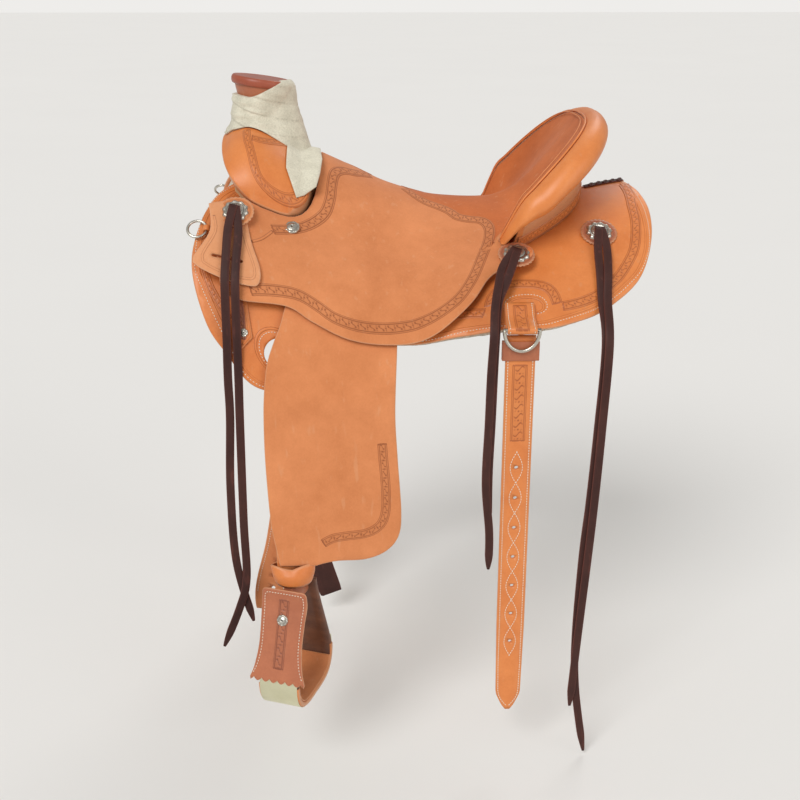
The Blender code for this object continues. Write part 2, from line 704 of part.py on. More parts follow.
def make_fork():
    """Wooden fork, its leather cover, and the horn that stands on it."""
    fork = draped("tree_fork", superellipse(0.0), FORK_LOW, fork_top, "rawhide_wood", lean=FORK_LEAN)
    over = TREE_GAP + COVER_THICK
    cover = draped("fork_cover", superellipse(over), FORK_LOW, lambda x, s: fork_top(x, s) + over,
                   "smooth_leather", lean=FORK_LEAN)
    hollow = draped_mesh("hollow", superellipse(TREE_GAP), FORK_LOW - 3.0,
                         lambda x, s: fork_top(x, s) + TREE_GAP, lean=FORK_LEAN)
    cut(cover, bpy.data.objects.new("hollow", hollow))

    tilt = Matrix.Rotation(math.radians(HORN_TILT), 3, "Y")
    stand = at((HORN_X, 0.0, HORN_SEAT_Z), tilt)
    top = CAP_HEIGHT - CAP_LEATHER - FIT
    low = top - CAP_THICK
    horn = turned("horn", [(0.0, top), (CAP_RADIUS - 2.0, top), (CAP_RADIUS, top - 2.0),
                           (CAP_RADIUS, low + 2.0), (CAP_RADIUS - 2.0, low),
                           (NECK_RADIUS + 8.0, low), (NECK_RADIUS + 2.0, low - 8.0),
                           (NECK_RADIUS, low - 22.0), (NECK_RADIUS + 1.0, 20.0),
                           (NECK_RADIUS + 4.0, 0.0), (0.0, 0.0)], "rawhide_wood", 20)
    edge = CAP_RADIUS + FIT
    under = low - FIT
    cap = turned("horn_cap_leather", [
        (0.0, CAP_HEIGHT), (CAP_RADIUS, CAP_HEIGHT), (edge + CAP_LEATHER - 0.6, CAP_HEIGHT - 2.0),
        (edge + CAP_LEATHER, under), (edge, under - CAP_LEATHER), (CAP_RADIUS - 5.0, under - CAP_LEATHER),
        (CAP_RADIUS - 5.0, under), (CAP_RADIUS - 1.6, under), (edge, under + 2.0),
        (edge, top + FIT - 2.0), (CAP_RADIUS - 1.8, top + FIT), (0.0, top + FIT)],
        "smooth_leather", 20)
    hold = NECK_RADIUS + 4.6
    outer = hold + WRAP_THICK
    turns = []
    for i in range(20):
        turn = 2 * math.pi * i / 20
        c, k = math.cos(turn), math.sin(turn)
        low_edge = WRAP_LOW - WRAP_SIDE_DROP * k * k
        profile = [(hold, WRAP_TOP), (hold + 7.0, WRAP_TOP), (outer - 2.0, WRAP_TOP - 4.0),
                   (outer, WRAP_LOW + 20.0), (outer + 2.0, low_edge + 6.0), (outer - 1.0, low_edge),
                   (hold, WRAP_LOW)]
        turns.append([((r + (WRAP_SHIFT * c if r > hold else 0.0)) * c,
                       (r + (WRAP_SHIFT * c if r > hold else 0.0)) * k, z) for r, z in profile])
    wrap = ring_mesh("wrap", turns)
    bpy.ops.mesh.primitive_cylinder_add(vertices=20, radius=(hold - 0.2) * MM, depth=90 * MM)
    socket = bpy.context.object
    socket.data.transform(Matrix.Translation((0, 0, (45.0 - FIT) * MM)))
    for piece in (horn, cap, socket):
        piece.matrix_world = stand
    cut(fork, socket)
    cut(cover, socket)

    over += TREE_GAP + 1.5
    tail = [(-190, 18), (-134, 30), (-131, 70), (-134, 92), (-155, 106), (-173, 74)]
    tail_mesh = draped_mesh("tail", tail, lambda x, s: fork_top(x, s) + over,
                            lambda x, s: fork_top(x, s) + over + 3.0 + max(-165.0 - x, 0.0) * 0.6,
                            -1, lean=FORK_LEAN)
    wrap.transform(stand)
    join(add_object("horn_wrap", wrap, "mulehide"), tail_mesh)


def make_cantle_leather():
    """Back cover of the cantle, and the roll that binds its rim."""
    half = []
    for i in range(RIM_STEPS + 1):
        taper = min(1.0, 0.30 + 0.15 * (RIM_STEPS - i))
        floor = ROLL_END_LOW if i > RIM_STEPS - 3 else GAP
        ring = []
        for out, up in ROLL_PROFILE:
            x, s = rim_offset(out * taper + GAP)[i]
            ring.append((x, s, max(RIM[i][2] + up * taper, floor + 0.02 * (up + 40))))
        half.append(ring)
    rings = [[drape(x, -s, d) for x, s, d in ring] for ring in reversed(half)]
    rings += [[drape(x, s, d) for x, s, d in ring] for ring in half[1:]]
    add_object("cantle_roll", loft_mesh("cantle_roll", [rings]), "smooth_leather")
    inner, outer = rim_offset(GAP), rim_offset(GAP + COVER_THICK)
    draped("cantle_back", band(outer[:-2], inner[:-2]), GAP,
           lambda x, s: max(rim_values(s)[1] - 40.0, 6.0), "smooth_leather")


def concho_mesh():
    """Silver concho on its scalloped leather rosette, in one piece that stands on z = 0."""
    rings = []
    low = ROSETTE_THICK
    high = ROSETTE_THICK + CONCHO_HEIGHT
    for radius, level, scallop in ((ROSETTE_RADIUS, 0.0, 1.0), (ROSETTE_RADIUS, low, 1.0),
                                   (CONCHO_RADIUS, low + 0.2, 0.0), (CONCHO_RADIUS, low + 1.4, 0.0),
                                   (CONCHO_RADIUS * 0.7, 0.5 * (low + high), 0.0),
                                   (CONCHO_RADIUS * 0.5, high - 1.0, 0.0),
                                   (CONCHO_RADIUS * 0.15, high, 0.0)):
        outline = circle((0, 0), radius, 24, scallop, SCALLOPS)
        rings.append([(x, y, level) for x, y in outline])
    return loft_mesh("concho", [rings])


def make_conchos(suffix, side):
    """Conchos at the front, on the seat's corner and on the rear of the skirt."""
    for name, spot, low in (("front", FRONT_CONCHO, KEEPER_LOW + KEEPER_THICK + GAP),
                            ("seat", SEAT_CONCHO, JOCKEY_HIGH + GAP), ("rear", REAR_CONCHO, GAP + FIT)):
        concho = add_object(name + "_concho_" + suffix, concho_mesh(), "silver")
        place(concho, *spot, low, side)


def make_front(suffix, side):
    """Latigo keeper, breast collar ring on its tab, and the tooled strap above the rig hole."""
    outline = flow([(-276, 152), (-272, 195), (-293, 236), (-290, 246), (-272, 255), (-244, 262),
                    (-214, 260), (-203, 252), (-202, 232), (-214, 200), (-221, 172), (-226, 150),
                    (-250, 144), (-276, 152)], 16.0)
    slope = 0.025
    keeper = draped("latigo_keeper_" + suffix, outline, lambda x, s: KEEPER_LOW + slope * (s - 150),
                    lambda x, s: KEEPER_LOW + KEEPER_THICK + slope * (s - 150), "rough_leather", side)
    point, turn = frame_at(-247, 232, KEEPER_LOW, side)
    bpy.ops.mesh.primitive_cube_add(size=1.0, location=point * MM, rotation=turn.to_euler())
    slot = bpy.context.object
    slot.scale = (44 * MM, 4.5 * MM, 30 * MM)
    slot.parent = hang("keeper_axis_" + suffix, frame_at(*FRONT_CONCHO, KEEPER_LOW, side)[0], [keeper])
    slot.location = Vector(slot.location) - slot.parent.location
    cut(keeper, slot)

    tab_s = 184.0
    point, turn = frame_at(COLLAR_EYE_X, tab_s, GAP + D_RING_WIRE + 3.7, side)
    sleeve = ring_of([(D_RING_WIRE + 3.4, 4.0), (D_RING_WIRE + 3.4, -4.0), (D_RING_WIRE + 1.0, -4.0),
                      (D_RING_WIRE + 1.0, 4.0)], 12)
    tab = [(COLLAR_EYE_X + 1.5, tab_s - 9), (-236, tab_s - 11), (-236, tab_s + 11),
           (COLLAR_EYE_X + 1.5, tab_s + 9)]
    tab_piece = draped("collar_tab_" + suffix, tab, GAP, GAP + 1.9, "rough_leather", side)
    join(tab_piece, sleeve, at(point, turn @ Matrix.Rotation(math.pi / 2, 3, "X")))
    ring = add_object("collar_ring_" + suffix, wire_ring(D_RING_RADIUS, D_RING_WIRE, 16), "silver")
    ring.data.transform(Matrix.Translation((side * D_RING_RADIUS * MM, 0.0, 0.0)))
    ring.matrix_world = at(point, turn)

    tip = [(-246, 262), (-224, 262), (-214, 326), (-229, 346), (-240, 330)]
    draped("rig_strap_" + suffix, tip, GAP, GAP + RIG_STRAP_THICK, "smooth_leather", side)


def fender_y(z):
    """Distance of the hanging fender's middle from the middle of the saddle, by height."""
    return FENDER_HANG_Y + max(FENDER_FLARE_Z - z, 0.0) * FENDER_FLARE


FENDER_MIDDLE = (FENDER_LOW + FENDER_HIGH) / 2
FENDER_HANG_Y = abs(drape(-110, -s_at_height(-110, -205.0, FENDER_MIDDLE), FENDER_MIDDLE).y)


def fender_point(x, z, d):
    """World point of the fender's pattern on the off side: draped at the top, hanging free below."""
    s = s_at_height(x, z, d)
    draped_y = drape(x, s, d).y
    free = fender_y(z) + d - FENDER_MIDDLE
    share = smooth_fall((z + 150.0) / -60.0)
    return Vector((x, draped_y * share + free * (1 - share), z))


def fender_mesh(side, outline):
    """Fender leather, cut from an outline of x and z."""
    flat = bmesh.new()
    flat.faces.new([flat.verts.new((x, z, 0.0)) for x, z in outline])
    cut_grid(flat, 48, 36)
    result = bmesh.ops.extrude_face_region(flat, geom=flat.faces[:])
    raised = {item for item in result["geom"] if isinstance(item, bmesh.types.BMVert)}
    for vert in flat.verts:
        point = fender_point(vert.co.x, vert.co.y, FENDER_HIGH if vert in raised else FENDER_LOW)
        vert.co = Vector((point.x, side * point.y, point.z)) * MM
    return finished_mesh("fender", flat)


def split_cylinder(centre, radius, length):
    """Cutter round a hinge, so that a piece turns against the one it hangs from."""
    bpy.ops.mesh.primitive_cylinder_add(vertices=72, radius=radius * MM, depth=length * MM,
                                        location=Vector(centre) * MM, rotation=(math.pi / 2, 0.0, 0.0))
    return bpy.context.object


def make_fender(suffix, side):
    """Fender in two lengths: the top lies under the jockey, the rest swings from the bar."""
    outline = flow(FENDER_FRONT, 34.0) + [FENDER_FRONT[-1]] + flow(FENDER_REAR, 30.0) + [FENDER_REAR[-1]]
    outline += [(x, drape(x, s, FENDER_LOW).z) for x, s in FENDER_HOLD]
    top = add_object("fender_top_" + suffix, fender_mesh(side, outline), "rough_leather")
    lower = add_object("fender_" + suffix, fender_mesh(side, outline), "rough_leather")
    for piece, radius, operation in ((top, SPLIT_RADIUS, "INTERSECT"),
                                     (lower, SPLIT_RADIUS + FIT, "DIFFERENCE")):
        cut(piece, split_cylinder((PIVOT_X, 0.0, PIVOT_Z), radius, FENDER_SPLIT_LENGTH), operation)
    return lower


def make_leathers(suffix, side):
    """Doubled stirrup leather behind the fender with its twisted neck, its free tail and hobble strap."""
    start = PIVOT_Z - SPLIT_RADIUS - 4.0
    back = FENDER_THICK / 2 + LEATHER_THICK + FIT
    levels = [(z, fender_y(z) - back, 0.0) for z in (start, start - 70, start - 140, NECK_TOP_Z)]
    steps = 6
    for i in range(1, steps + 1):
        share = i / steps
        twist = math.radians(90.0 + STIRRUP_TURN) * (1 - smooth_fall(share)) * -side
        levels.append((NECK_TOP_Z + (NECK_LOW_Z - NECK_TOP_Z) * share,
                       levels[3][1] + (NECK_Y - levels[3][1]) * share, twist))
    rings = []
    for z, y, twist in levels:
        along = Vector((math.cos(twist), math.sin(twist), 0.0)) * LEATHER_WIDTH / 2
        deep = Vector((-math.sin(twist), math.cos(twist), 0.0)) * LEATHER_THICK
        middle = Vector((NECK_X, side * y, z))
        rings.append([middle + along + deep, middle - along + deep, middle - along - deep,
                      middle + along - deep])
    leather = add_object("stirrup_leather_" + suffix, loft_mesh("leather", [rings]), "smooth_leather")

    under = back + LEATHER_THICK + GAP + STRAP_THICK / 2
    path = [(NECK_X - 2.0, side * (fender_y(z) - under), z) for z in (TAIL_TOP_Z, TAIL_TOP_Z - 14.0)]
    path += [(x, side * y, z) for x, y, z in LEATHER_TAIL]
    tail = add_object("leather_tail_" + suffix, loft_mesh("tail", [
        strap_rings(path, [42.0, 44.0, 46.0, 46.0, 46.0, 36.0], STRAP_THICK)]), "rough_leather")

    outer, inner = [], []
    for reach_x, reach_y, y, z in HOBBLE_BAND:
        for rings, grow in ((outer, 1.5), (inner, -1.0)):
            rings.append([(NECK_X + (reach_x + grow) * c, side * (y + (reach_y + grow) * k), z)
                          for c, k in circle((0, 0), 1.0, 20)])
    hobble = add_object("hobble_strap_" + suffix, tube_mesh(outer, inner), "smooth_leather")
    return [leather, tail, hobble]


def stirrup_line():
    """Half of the bell-shaped stirrup, from the bolt to the middle of the tread: span and height."""
    return [(27, 13), (29, 0), (38, -24), (50, -60), (60, -96), (65, -122), (60, -144), (46, -158),
            (24, -163), (0, -163)]


def ribbon(half, widths, thick):
    """Sections of a ribbon down one leg of the stirrup, across the tread and up the other."""
    line = half + [(-y, z) for y, z in reversed(half[:-1])]
    path = [(0.0, y, z) for y, z in line]
    return strap_rings(path, widths + widths[-2::-1], thick)


def make_stirrup(suffix, side):
    """Bell stirrup with its outer panel and roller, and the leather loop it hangs in."""
    widths = [STIRRUP_TOP_WIDTH, 48, 50, 53, 57, 60, 62, STIRRUP_WIDTH, STIRRUP_WIDTH, STIRRUP_WIDTH]
    frame = add_object("stirrup_" + suffix,
                       loft_mesh("stirrup", [ribbon(stirrup_line(), widths, STIRRUP_WALL)]), "tread")
    reach = (STIRRUP_WALL + PANEL_THICK) / 2 + 2 * FIT
    leg = [(29 + reach, 22), (29.5 + reach, 0), (38 + reach, -24), (50 + reach, -60), (61 + reach, -92),
           (67 + reach, -111)]
    panel = add_object("stirrup_panel_" + suffix, loft_mesh("panel", [strap_rings(
        [(0.0, side * y, z) for y, z in leg], [68, 71, 68, 67, 75, 86], PANEL_THICK)]), "rough_leather")

    half_bolt = 28.3 - STIRRUP_WALL / 2 - FIT
    half_roller = LEATHER_WIDTH / 2 - 1.0
    roller = turned("stirrup_roller_" + suffix, [
        (0.0, half_bolt), (BOLT_RADIUS, half_bolt), (BOLT_RADIUS, half_roller - 1.0),
        (ROLLER_RADIUS, half_roller - 1.0), (ROLLER_RADIUS, 1.0 - half_roller),
        (BOLT_RADIUS, 1.0 - half_roller), (BOLT_RADIUS, -half_bolt), (0.0, -half_bolt)], "silver", 16)
    roller.rotation_euler = (math.pi / 2, 0.0, 0.0)

    eye = ROLLER_RADIUS + GAP
    skin = eye + 4.5
    neck_end = NECK_LOW_Z - BOLT_Z - 2 * FIT
    outer = [(skin * math.sin(t), -skin * math.cos(t)) for t in
             [math.radians(v) for v in range(-140, 141, 20)]]
    outer += [(LEATHER_THICK, neck_end), (-LEATHER_THICK, neck_end)]
    inner = []
    for x, z in outer:
        size = math.hypot(x, z)
        inner.append((x * eye / size, z * eye / size))
    half = LEATHER_WIDTH / 2 - 1.0
    walls = [[(x, y, z) for x, z in line] for line, y in
             ((outer, half), (outer, -half), (inner, -half), (inner, half))]
    loop = add_object("stirrup_loop_" + suffix, ring_mesh("loop", walls), "smooth_leather")
    middle = (NECK_X, side * NECK_Y, BOLT_Z)
    axis = hang("stirrup_axis_" + suffix, (0, 0, 0), [frame, panel, roller, loop])
    axis.rotation_euler = (0.0, 0.0, math.radians(STIRRUP_TURN) * -side)
    axis.location = Vector(middle) * MM
    return axis


def make_rear_rig(suffix, side):
    """Rear rigging strap folded round its ring, and behind it the top of the billet."""
    x = BILLET_X
    low = GAP + BILLET_THICK / 2
    edge_s = s_at_height(x, BILLET_SPLIT_Z + 4.0, low)
    hang_y = drape(x, edge_s, low).y
    if suffix == BILLET_SIDE:
        path = [drape(x, side * s, low) for s in (BILLET_TOP + 3, BILLET_TOP + 14, edge_s - 10)]
        path += [Vector((x, side * hang_y, BILLET_SPLIT_Z + lift)) for lift in (7.0, -1.0)]
        root = add_object("billet_root_" + suffix, loft_mesh("billet_root", [
            strap_rings(path, BILLET_WIDTH, BILLET_THICK)]), "smooth_leather")
        make_billet(suffix, root, side * hang_y)
    front_low = low + (BILLET_THICK + GAP if suffix == BILLET_SIDE else 0.0)
    bar_s, bar_d = DEE_BAR
    outer, bore = RING_WIRE + 3.4, RING_WIRE + 0.8
    path = [drape(x, side * s, front_low) for s in (BILLET_TOP + 3, BILLET_TOP + 14, bar_s - 20)]
    path.append(drape(x, side * (bar_s - outer + 1.5), bar_d))
    half = RIG_STRAP_WIDTH / 2
    sleeve = ring_of([(outer, half + 0.2), (outer, -half - 0.2), (bore, -half - 0.2), (bore, half + 0.2)], 12)
    bar = drape(x, side * bar_s, bar_d)
    strap = add_object("rear_rig_" + suffix, loft_mesh("strap", [
        strap_rings(path, RIG_STRAP_WIDTH, STRAP_THICK)]), "smooth_leather")
    join(strap, sleeve, at(bar, Matrix.Rotation(math.pi / 2, 3, "Y")))
    ring = add_object("rear_ring_" + suffix, dee_mesh(), "silver")
    ring.location = bar * MM


def dee_mesh():
    """Half-round rigging ring hanging from its straight bar, which lies along X through the origin."""
    half = DEE_WIDTH / 2
    line = [(-half, 0.0), (0.0, 0.0), (half, 0.0)]
    line += [(half * math.cos(t), -DEE_DROP * math.sin(t)) for t in
             [math.radians(v) for v in range(18, 163, 18)]]
    rings = []
    for i, (x, z) in enumerate(line):
        before, after = line[i - 1], line[(i + 1) % len(line)]
        along = Vector((after[0] - before[0], 0.0, after[1] - before[1])).normalized()
        out = Vector((along.z, 0.0, -along.x))
        rings.append([Vector((x, 0.0, z)) + out * a + Vector((0.0, b, 0.0))
                      for a, b in circle((0, 0), RING_WIRE, 8)])
    return ring_mesh("dee", rings)


def make_billet(suffix, root, y):
    """Rear billet with its holes, hanging straight down from its root, and the keeper loop round it."""
    x = BILLET_X
    tip = BILLET_TIP_Z
    top, point = BILLET_SPLIT_Z + 14, tip + BILLET_POINT
    heights = [top + (point - top) * i / 6 for i in range(7)] + [tip + BILLET_POINT * 0.35, tip]
    billet = add_object("billet_" + suffix, loft_mesh("billet", [strap_rings(
        [(x, y, z) for z in heights], [BILLET_WIDTH] * 3 + [43, 42, 40, 38, 30, 8], BILLET_THICK)]),
        "smooth_leather")
    hang_at = (x, y, BILLET_SPLIT_Z + BILLET_SPLIT_RADIUS)
    for piece, radius, operation in ((root, BILLET_SPLIT_RADIUS, "INTERSECT"),
                                     (billet, BILLET_SPLIT_RADIUS + FIT, "DIFFERENCE")):
        cut(piece, split_cylinder(hang_at, radius, BILLET_SPLIT_LENGTH), operation)
    for k in range(BILLET_HOLES):
        z = BILLET_HOLE_TOP - k * BILLET_HOLE_PITCH
        bpy.ops.mesh.primitive_cylinder_add(vertices=8, radius=BILLET_HOLE_RADIUS * MM, depth=0.02,
                                            location=(x * MM, y * MM, z * MM),
                                            rotation=(math.pi / 2, 0.0, 0.0))
        cut(billet, bpy.context.object)
    keep = BILLET_THICK / 2 + 2 * FIT
    wall = keep + KEEPER_WALL
    outer, inner = [], []
    for z in (KEEPER_TOP_Z, KEEPER_LOW_Z):
        outer.append([(x + a * 26, y + b * wall, z) for a, b in ((1, -1), (1, 1), (-1, 1), (-1, -1))])
        inner.append([(x + a * 23, y + b * keep, z) for a, b in ((1, -1), (1, 1), (-1, 1), (-1, -1))])
    keeper = add_object("billet_keeper_" + suffix, tube_mesh(outer, inner), "rough_leather")
    hang("billet_axis_" + suffix, hang_at, [billet, keeper])


def make_off_billet():
    """Dark billet of the off side, folded through the rig hole and hanging inside the stirrup."""
    x = RIG_HOLE[0]
    outside, inside = 2.2, -SKIRT_THICK - 2.2
    fold = [drape(x, s, d) for s, d in (
        (384, outside + 0.4), (360, outside), (350, outside), (345, outside - 0.3),
        (343, -SKIRT_THICK / 2), (345, inside + 0.3), (350, inside), (360, inside - 0.4),
        (380, inside - 1.4), (400, inside - 2.0))]
    path = fold + [Vector(point) for point in OFF_BILLET_LINE]
    widths = [26.0] * (len(fold) + 1) + [40, 44, 44, 44, 44, 36]
    strap = add_object("off_billet", loft_mesh("strap", [
        strap_rings(path, widths, OFF_BILLET_THICK, Vector((1.0, 0.03, 0.0)))]), "dark_leather")
    hang("off_billet_axis", drape(x, 343, -SKIRT_THICK / 2), [strap])


def make_string(name, side, runs):
    """Saddle string, one long lace through a concho: both ends lie over the leather, then hang free.

    A run is its pattern points (x, s, d), then its free points (x, y, z) with y outward.
    """
    ends = []
    for pattern, free in runs:
        points = [drape(x, s, d) for x, s, d in pattern] + [Vector(point) for point in free]
        points = flow([tuple(point) for point in points], 34.0) + [tuple(points[-1])]
        path = [(x, side * y, z) for x, y, z in points]
        ends.append(loft_mesh(name, [strap_rings(path, STRING_WIDTH, STRING_THICK)]))
    join(add_object(name, ends[0], "dark_leather"), ends[1])


for label, sign in SIDES:
    make_skirts(label, sign)
    make_fleece(label, sign)
    swinging = [make_fender(label, sign)] + make_leathers(label, sign)
    stirrup = make_stirrup(label, sign)
    fender_axis = hang("fender_axis_" + label, (PIVOT_X, 0.0, PIVOT_Z), swinging + [stirrup])
    make_rear_rig(label, sign)
    make_front(label, sign)
    make_conchos(label, sign)
make_tree()
make_fork()
make_cantle_leather()
make_off_billet()
for spot, runs in (("front", FRONT_STRINGS), ("seat", SEAT_STRINGS), ("rear", REAR_STRINGS)):
    make_string(spot + "_strings_near", -1, runs)
draped("seat", mirrored(seat_half_outline()), seat_under, seat_top, "rough_leather")
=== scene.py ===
import json
import math

import bpy
import bmesh
from mathutils import Matrix, Vector, noise


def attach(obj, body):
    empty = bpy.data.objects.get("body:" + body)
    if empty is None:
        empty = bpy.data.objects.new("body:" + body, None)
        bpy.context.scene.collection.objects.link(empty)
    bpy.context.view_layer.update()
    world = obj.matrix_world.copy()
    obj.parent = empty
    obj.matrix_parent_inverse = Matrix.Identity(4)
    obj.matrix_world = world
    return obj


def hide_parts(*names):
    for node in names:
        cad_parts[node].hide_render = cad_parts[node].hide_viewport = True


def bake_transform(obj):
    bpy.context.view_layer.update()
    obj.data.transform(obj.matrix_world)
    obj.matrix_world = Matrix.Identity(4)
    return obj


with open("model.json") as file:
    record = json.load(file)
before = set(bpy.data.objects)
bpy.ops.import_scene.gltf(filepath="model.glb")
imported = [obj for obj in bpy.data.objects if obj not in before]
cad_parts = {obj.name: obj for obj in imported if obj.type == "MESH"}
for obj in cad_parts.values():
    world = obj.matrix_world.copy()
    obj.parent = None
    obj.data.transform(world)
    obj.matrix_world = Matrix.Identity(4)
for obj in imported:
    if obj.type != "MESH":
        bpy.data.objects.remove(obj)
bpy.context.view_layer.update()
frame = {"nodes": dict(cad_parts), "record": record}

# Wade saddle. All lengths below are millimetres unless a name ends in _M. A pattern point is (x, s):
# x along the saddle, s the distance round the side; a third number is the height over the skirt's face.
MM = 0.001
SIDES = (("near", -1), ("off", 1))
BODY = {node: body for body, nodes in frame["record"]["behaviour"]["bodies"].items() for node in nodes}

# The camera, as the photograph was taken
TARGET_M = Vector((0.0, 0.0, -0.285))
DISTANCE_M = 1.870
AZIMUTH, ELEVATION = math.radians(-2.0), math.radians(20.0)
LENS, SENSOR_WIDTH, CLIP_START_M = 50.85, 36.0, 0.05

# Form of the tree: x, height of the middle line, roll of the shoulder and rate of turn round the side
STATIONS = (
    (-300, 117, 12, 0.180), (-240, 107, 12, 0.180), (-120, 53, 8, 0.185), (0, 17, 6, 0.185),
    (80, 12, 4, 0.160), (150, 25, 4, 0.137), (230, 49, 6, 0.155), (300, 67, 10, 0.180),
    (360, 77, 12, 0.185))
SHOULDER_REACH = 25
STEEPEST = 90.0
SECTION_STEP = 4.0
SECTION_PITCH = 2.0
SECTION_COUNT = 200
LONGEST_S = 780.0
HALVINGS, UNDRAPE_ROUNDS = 26, 14

SKIRT_THICK = 4.0
FLEECE_GAP = 1.7
FLEECE_THICK = 12.0
SEAT_THICK = 4.0
COVER_THICK = 3.0
TREE_GAP = 2.0
GAP = 0.8
FORK_LOW = 14.5
FENDER_LOW, FENDER_HIGH = 5.0, 9.5
FENDER_MIDDLE = (FENDER_LOW + FENDER_HIGH) / 2
JOCKEY_HIGH = 18.5
KEEPER_LOW, KEEPER_HIGH = 19.9, 23.4
SEAT_LINE = ((-125, 122), (-77, 100), (-31, 78), (0, 67), (31, 58), (62, 53), (117, 50), (160, 52))
SEAT_SIDE = 150.0
CANTLE_X, CANTLE_DEPTH, CANTLE_HALF_WIDTH = 139.0, 134.0, 165.5
CANTLE_BASE_Z, CANTLE_RISE, CANTLE_END_HEIGHT = 32.0, 143.6, 23.0
RIM_POWERS = (0.8, 0.66, 0.67)
DISH_REACH, DISH_REACH_END = 150.0, 40.0
DISH_POWER, DISH_FADE_S, DISH_FADE_X = 1.7, 6.0, 5.0
FORK_X, FORK_HALF_LENGTH, FORK_HALF_WIDTH = -192.0, 64.0, 124.0
FORK_LINE = ((-256, 142.8), (-238, 154.8), (-205, 162.8), (-165, 144.8), (-128, 115.8))
FORK_EDGE = 3.0
FORK_POWER, FORK_ROUND_OUT, FORK_ROUND_IN = 2.8, 2.4, 0.75
FORK_LEAN = 0.26
HORN_X, HORN_SEAT_Z, HORN_TILT = -216.0, 140.0, math.radians(8.0)
RIG_HOLE = (-178, 334)
RIG_HOLE_RADIUS = 21.0
NECK_X, NECK_Y, BOLT_Z = -166.0, 280.0, -483.0
STIRRUP_TURN = math.radians(-20.0)
BILLET_X, BILLET_Y = 158.0, 266.59
DEE_BAR_Z, DEE_BAR_Y = -84.76, 276.48
FLARE_Z, FLARE = -210.0, 0.10
DRAPE_END_Z, DRAPE_FADE = -150.0, 60.0
ON_MIDDLE = 0.01
WELD_M = 0.00002
ALONG_X = Vector((1.0, 0.0, 0.0))


def new_object(name, data):
    """Object at the origin, in the scene."""
    thing = bpy.data.objects.new(name, data)
    bpy.context.scene.collection.objects.link(thing)
    return thing


def set_camera():
    """Camera at the photograph's viewing angle."""
    data = bpy.data.cameras.new("camera")
    data.lens = LENS
    data.sensor_width = SENSOR_WIDTH
    data.sensor_fit = "HORIZONTAL"
    data.clip_start = CLIP_START_M
    camera = new_object("camera", data)
    away = Vector((math.sin(AZIMUTH) * math.cos(ELEVATION), -math.cos(AZIMUTH) * math.cos(ELEVATION),
                   math.sin(ELEVATION)))
    camera.location = TARGET_M + away * DISTANCE_M
    camera.rotation_euler = away.to_track_quat("Z", "Y").to_euler()
    bpy.context.scene.camera = camera


# The draped surface that all the leather follows

def between(table, x, column):
    """Read a column of a table at x, along a smooth curve through its rows."""
    count = len(table)
    x = min(max(x, table[0][0]), table[-1][0])
    i = 0
    while i < count - 2 and x > table[i + 1][0]:
        i += 1
    before, here = table[max(i - 1, 0)], table[i]
    there, after = table[i + 1], table[min(i + 2, count - 1)]
    span = there[0] - here[0]
    t = (x - here[0]) / span
    slope_here = (there[column] - before[column]) / (there[0] - before[0]) * span
    slope_there = (after[column] - here[column]) / (after[0] - here[0]) * span
    return ((2 * t**3 - 3 * t**2 + 1) * here[column] + (t**3 - 2 * t**2 + t) * slope_here
            + (3 * t**2 - 2 * t**3) * there[column] + (t**3 - t**2) * slope_there)


sections = {}


def section(index):
    """Half section of the skirt face at a step of x: y, z and slope, every few millimetres of s."""
    if index not in sections:
        x = index * SECTION_PITCH
        shoulder, rate = between(STATIONS, x, 2), between(STATIONS, x, 3)
        rows = [(0.0, between(STATIONS, x, 1), 0.0)]
        for i in range(1, SECTION_COUNT + 1):
            s = i * SECTION_STEP
            slope = math.radians(min(shoulder * math.tanh(s / SHOULDER_REACH) + rate * s, STEEPEST))
            y, z, last = rows[-1]
            rows.append((y + 0.5 * (math.cos(last) + math.cos(slope)) * SECTION_STEP,
                         z - 0.5 * (math.sin(last) + math.sin(slope)) * SECTION_STEP, slope))
        sections[index] = rows
    return sections[index]


def drape(x, s, d=0.0):
    """World point of the pattern point (x, s) at height d. The near side has s < 0."""
    index = math.floor(x / SECTION_PITCH)
    share = x / SECTION_PITCH - index
    place = min(abs(s) / SECTION_STEP, SECTION_COUNT - 0.001)
    i = int(place)
    t = place - i
    y = z = slope = 0.0
    for rows, weight in ((section(index), 1 - share), (section(index + 1), share)):
        for row, part in ((rows[i], 1 - t), (rows[i + 1], t)):
            y += row[0] * weight * part
            z += row[1] * weight * part
            slope += row[2] * weight * part
    y += d * math.sin(slope)
    return Vector((x, y if s >= 0 else -y, z + d * math.cos(slope)))


def undrape(x, y, z):
    """Pattern point (x, s, d) of a world point on the off side."""
    s, d = y, 0.0
    for _ in range(UNDRAPE_ROUNDS):
        here, ahead, above = drape(x, s, d), drape(x, s + 1.0, d), drape(x, s, d + 1.0)
        a, c, b, e = ahead.y - here.y, ahead.z - here.z, above.y - here.y, above.z - here.z
        miss_y, miss_z = y - here.y, z - here.z
        scale = a * e - b * c
        s = max(s + (miss_y * e - b * miss_z) / scale, 0.0)
        d += (a * miss_z - miss_y * c) / scale
    return x, s, d


def s_at_height(x, z, d=0.0):
    """Distance round the side at which the face at height d has come down to z."""
    low, high = 0.0, LONGEST_S
    for _ in range(HALVINGS):
        middle = 0.5 * (low + high)
        if drape(x, middle, d).z > z:
            low = middle
        else:
            high = middle
    return low


def flow(points, step=6.0):
    """Smooth run of points through a few chosen ones, without the last."""
    run = []
    last = len(points) - 1
    for i in range(last):
        p0, p1 = points[max(i - 1, 0)], points[i]
        p2, p3 = points[i + 1], points[min(i + 2, last)]
        pieces = max(1, round(math.dist(p1, p2) / step))
        for k in range(pieces):
            t = k / pieces
            run.append(tuple(0.5 * (2 * b + (c - a) * t + (2 * a - 5 * b + 4 * c - d) * t * t
                                    + (3 * b - a - 3 * c + d) * t**3)
                             for a, b, c, d in zip(p0, p1, p2, p3)))
    return run


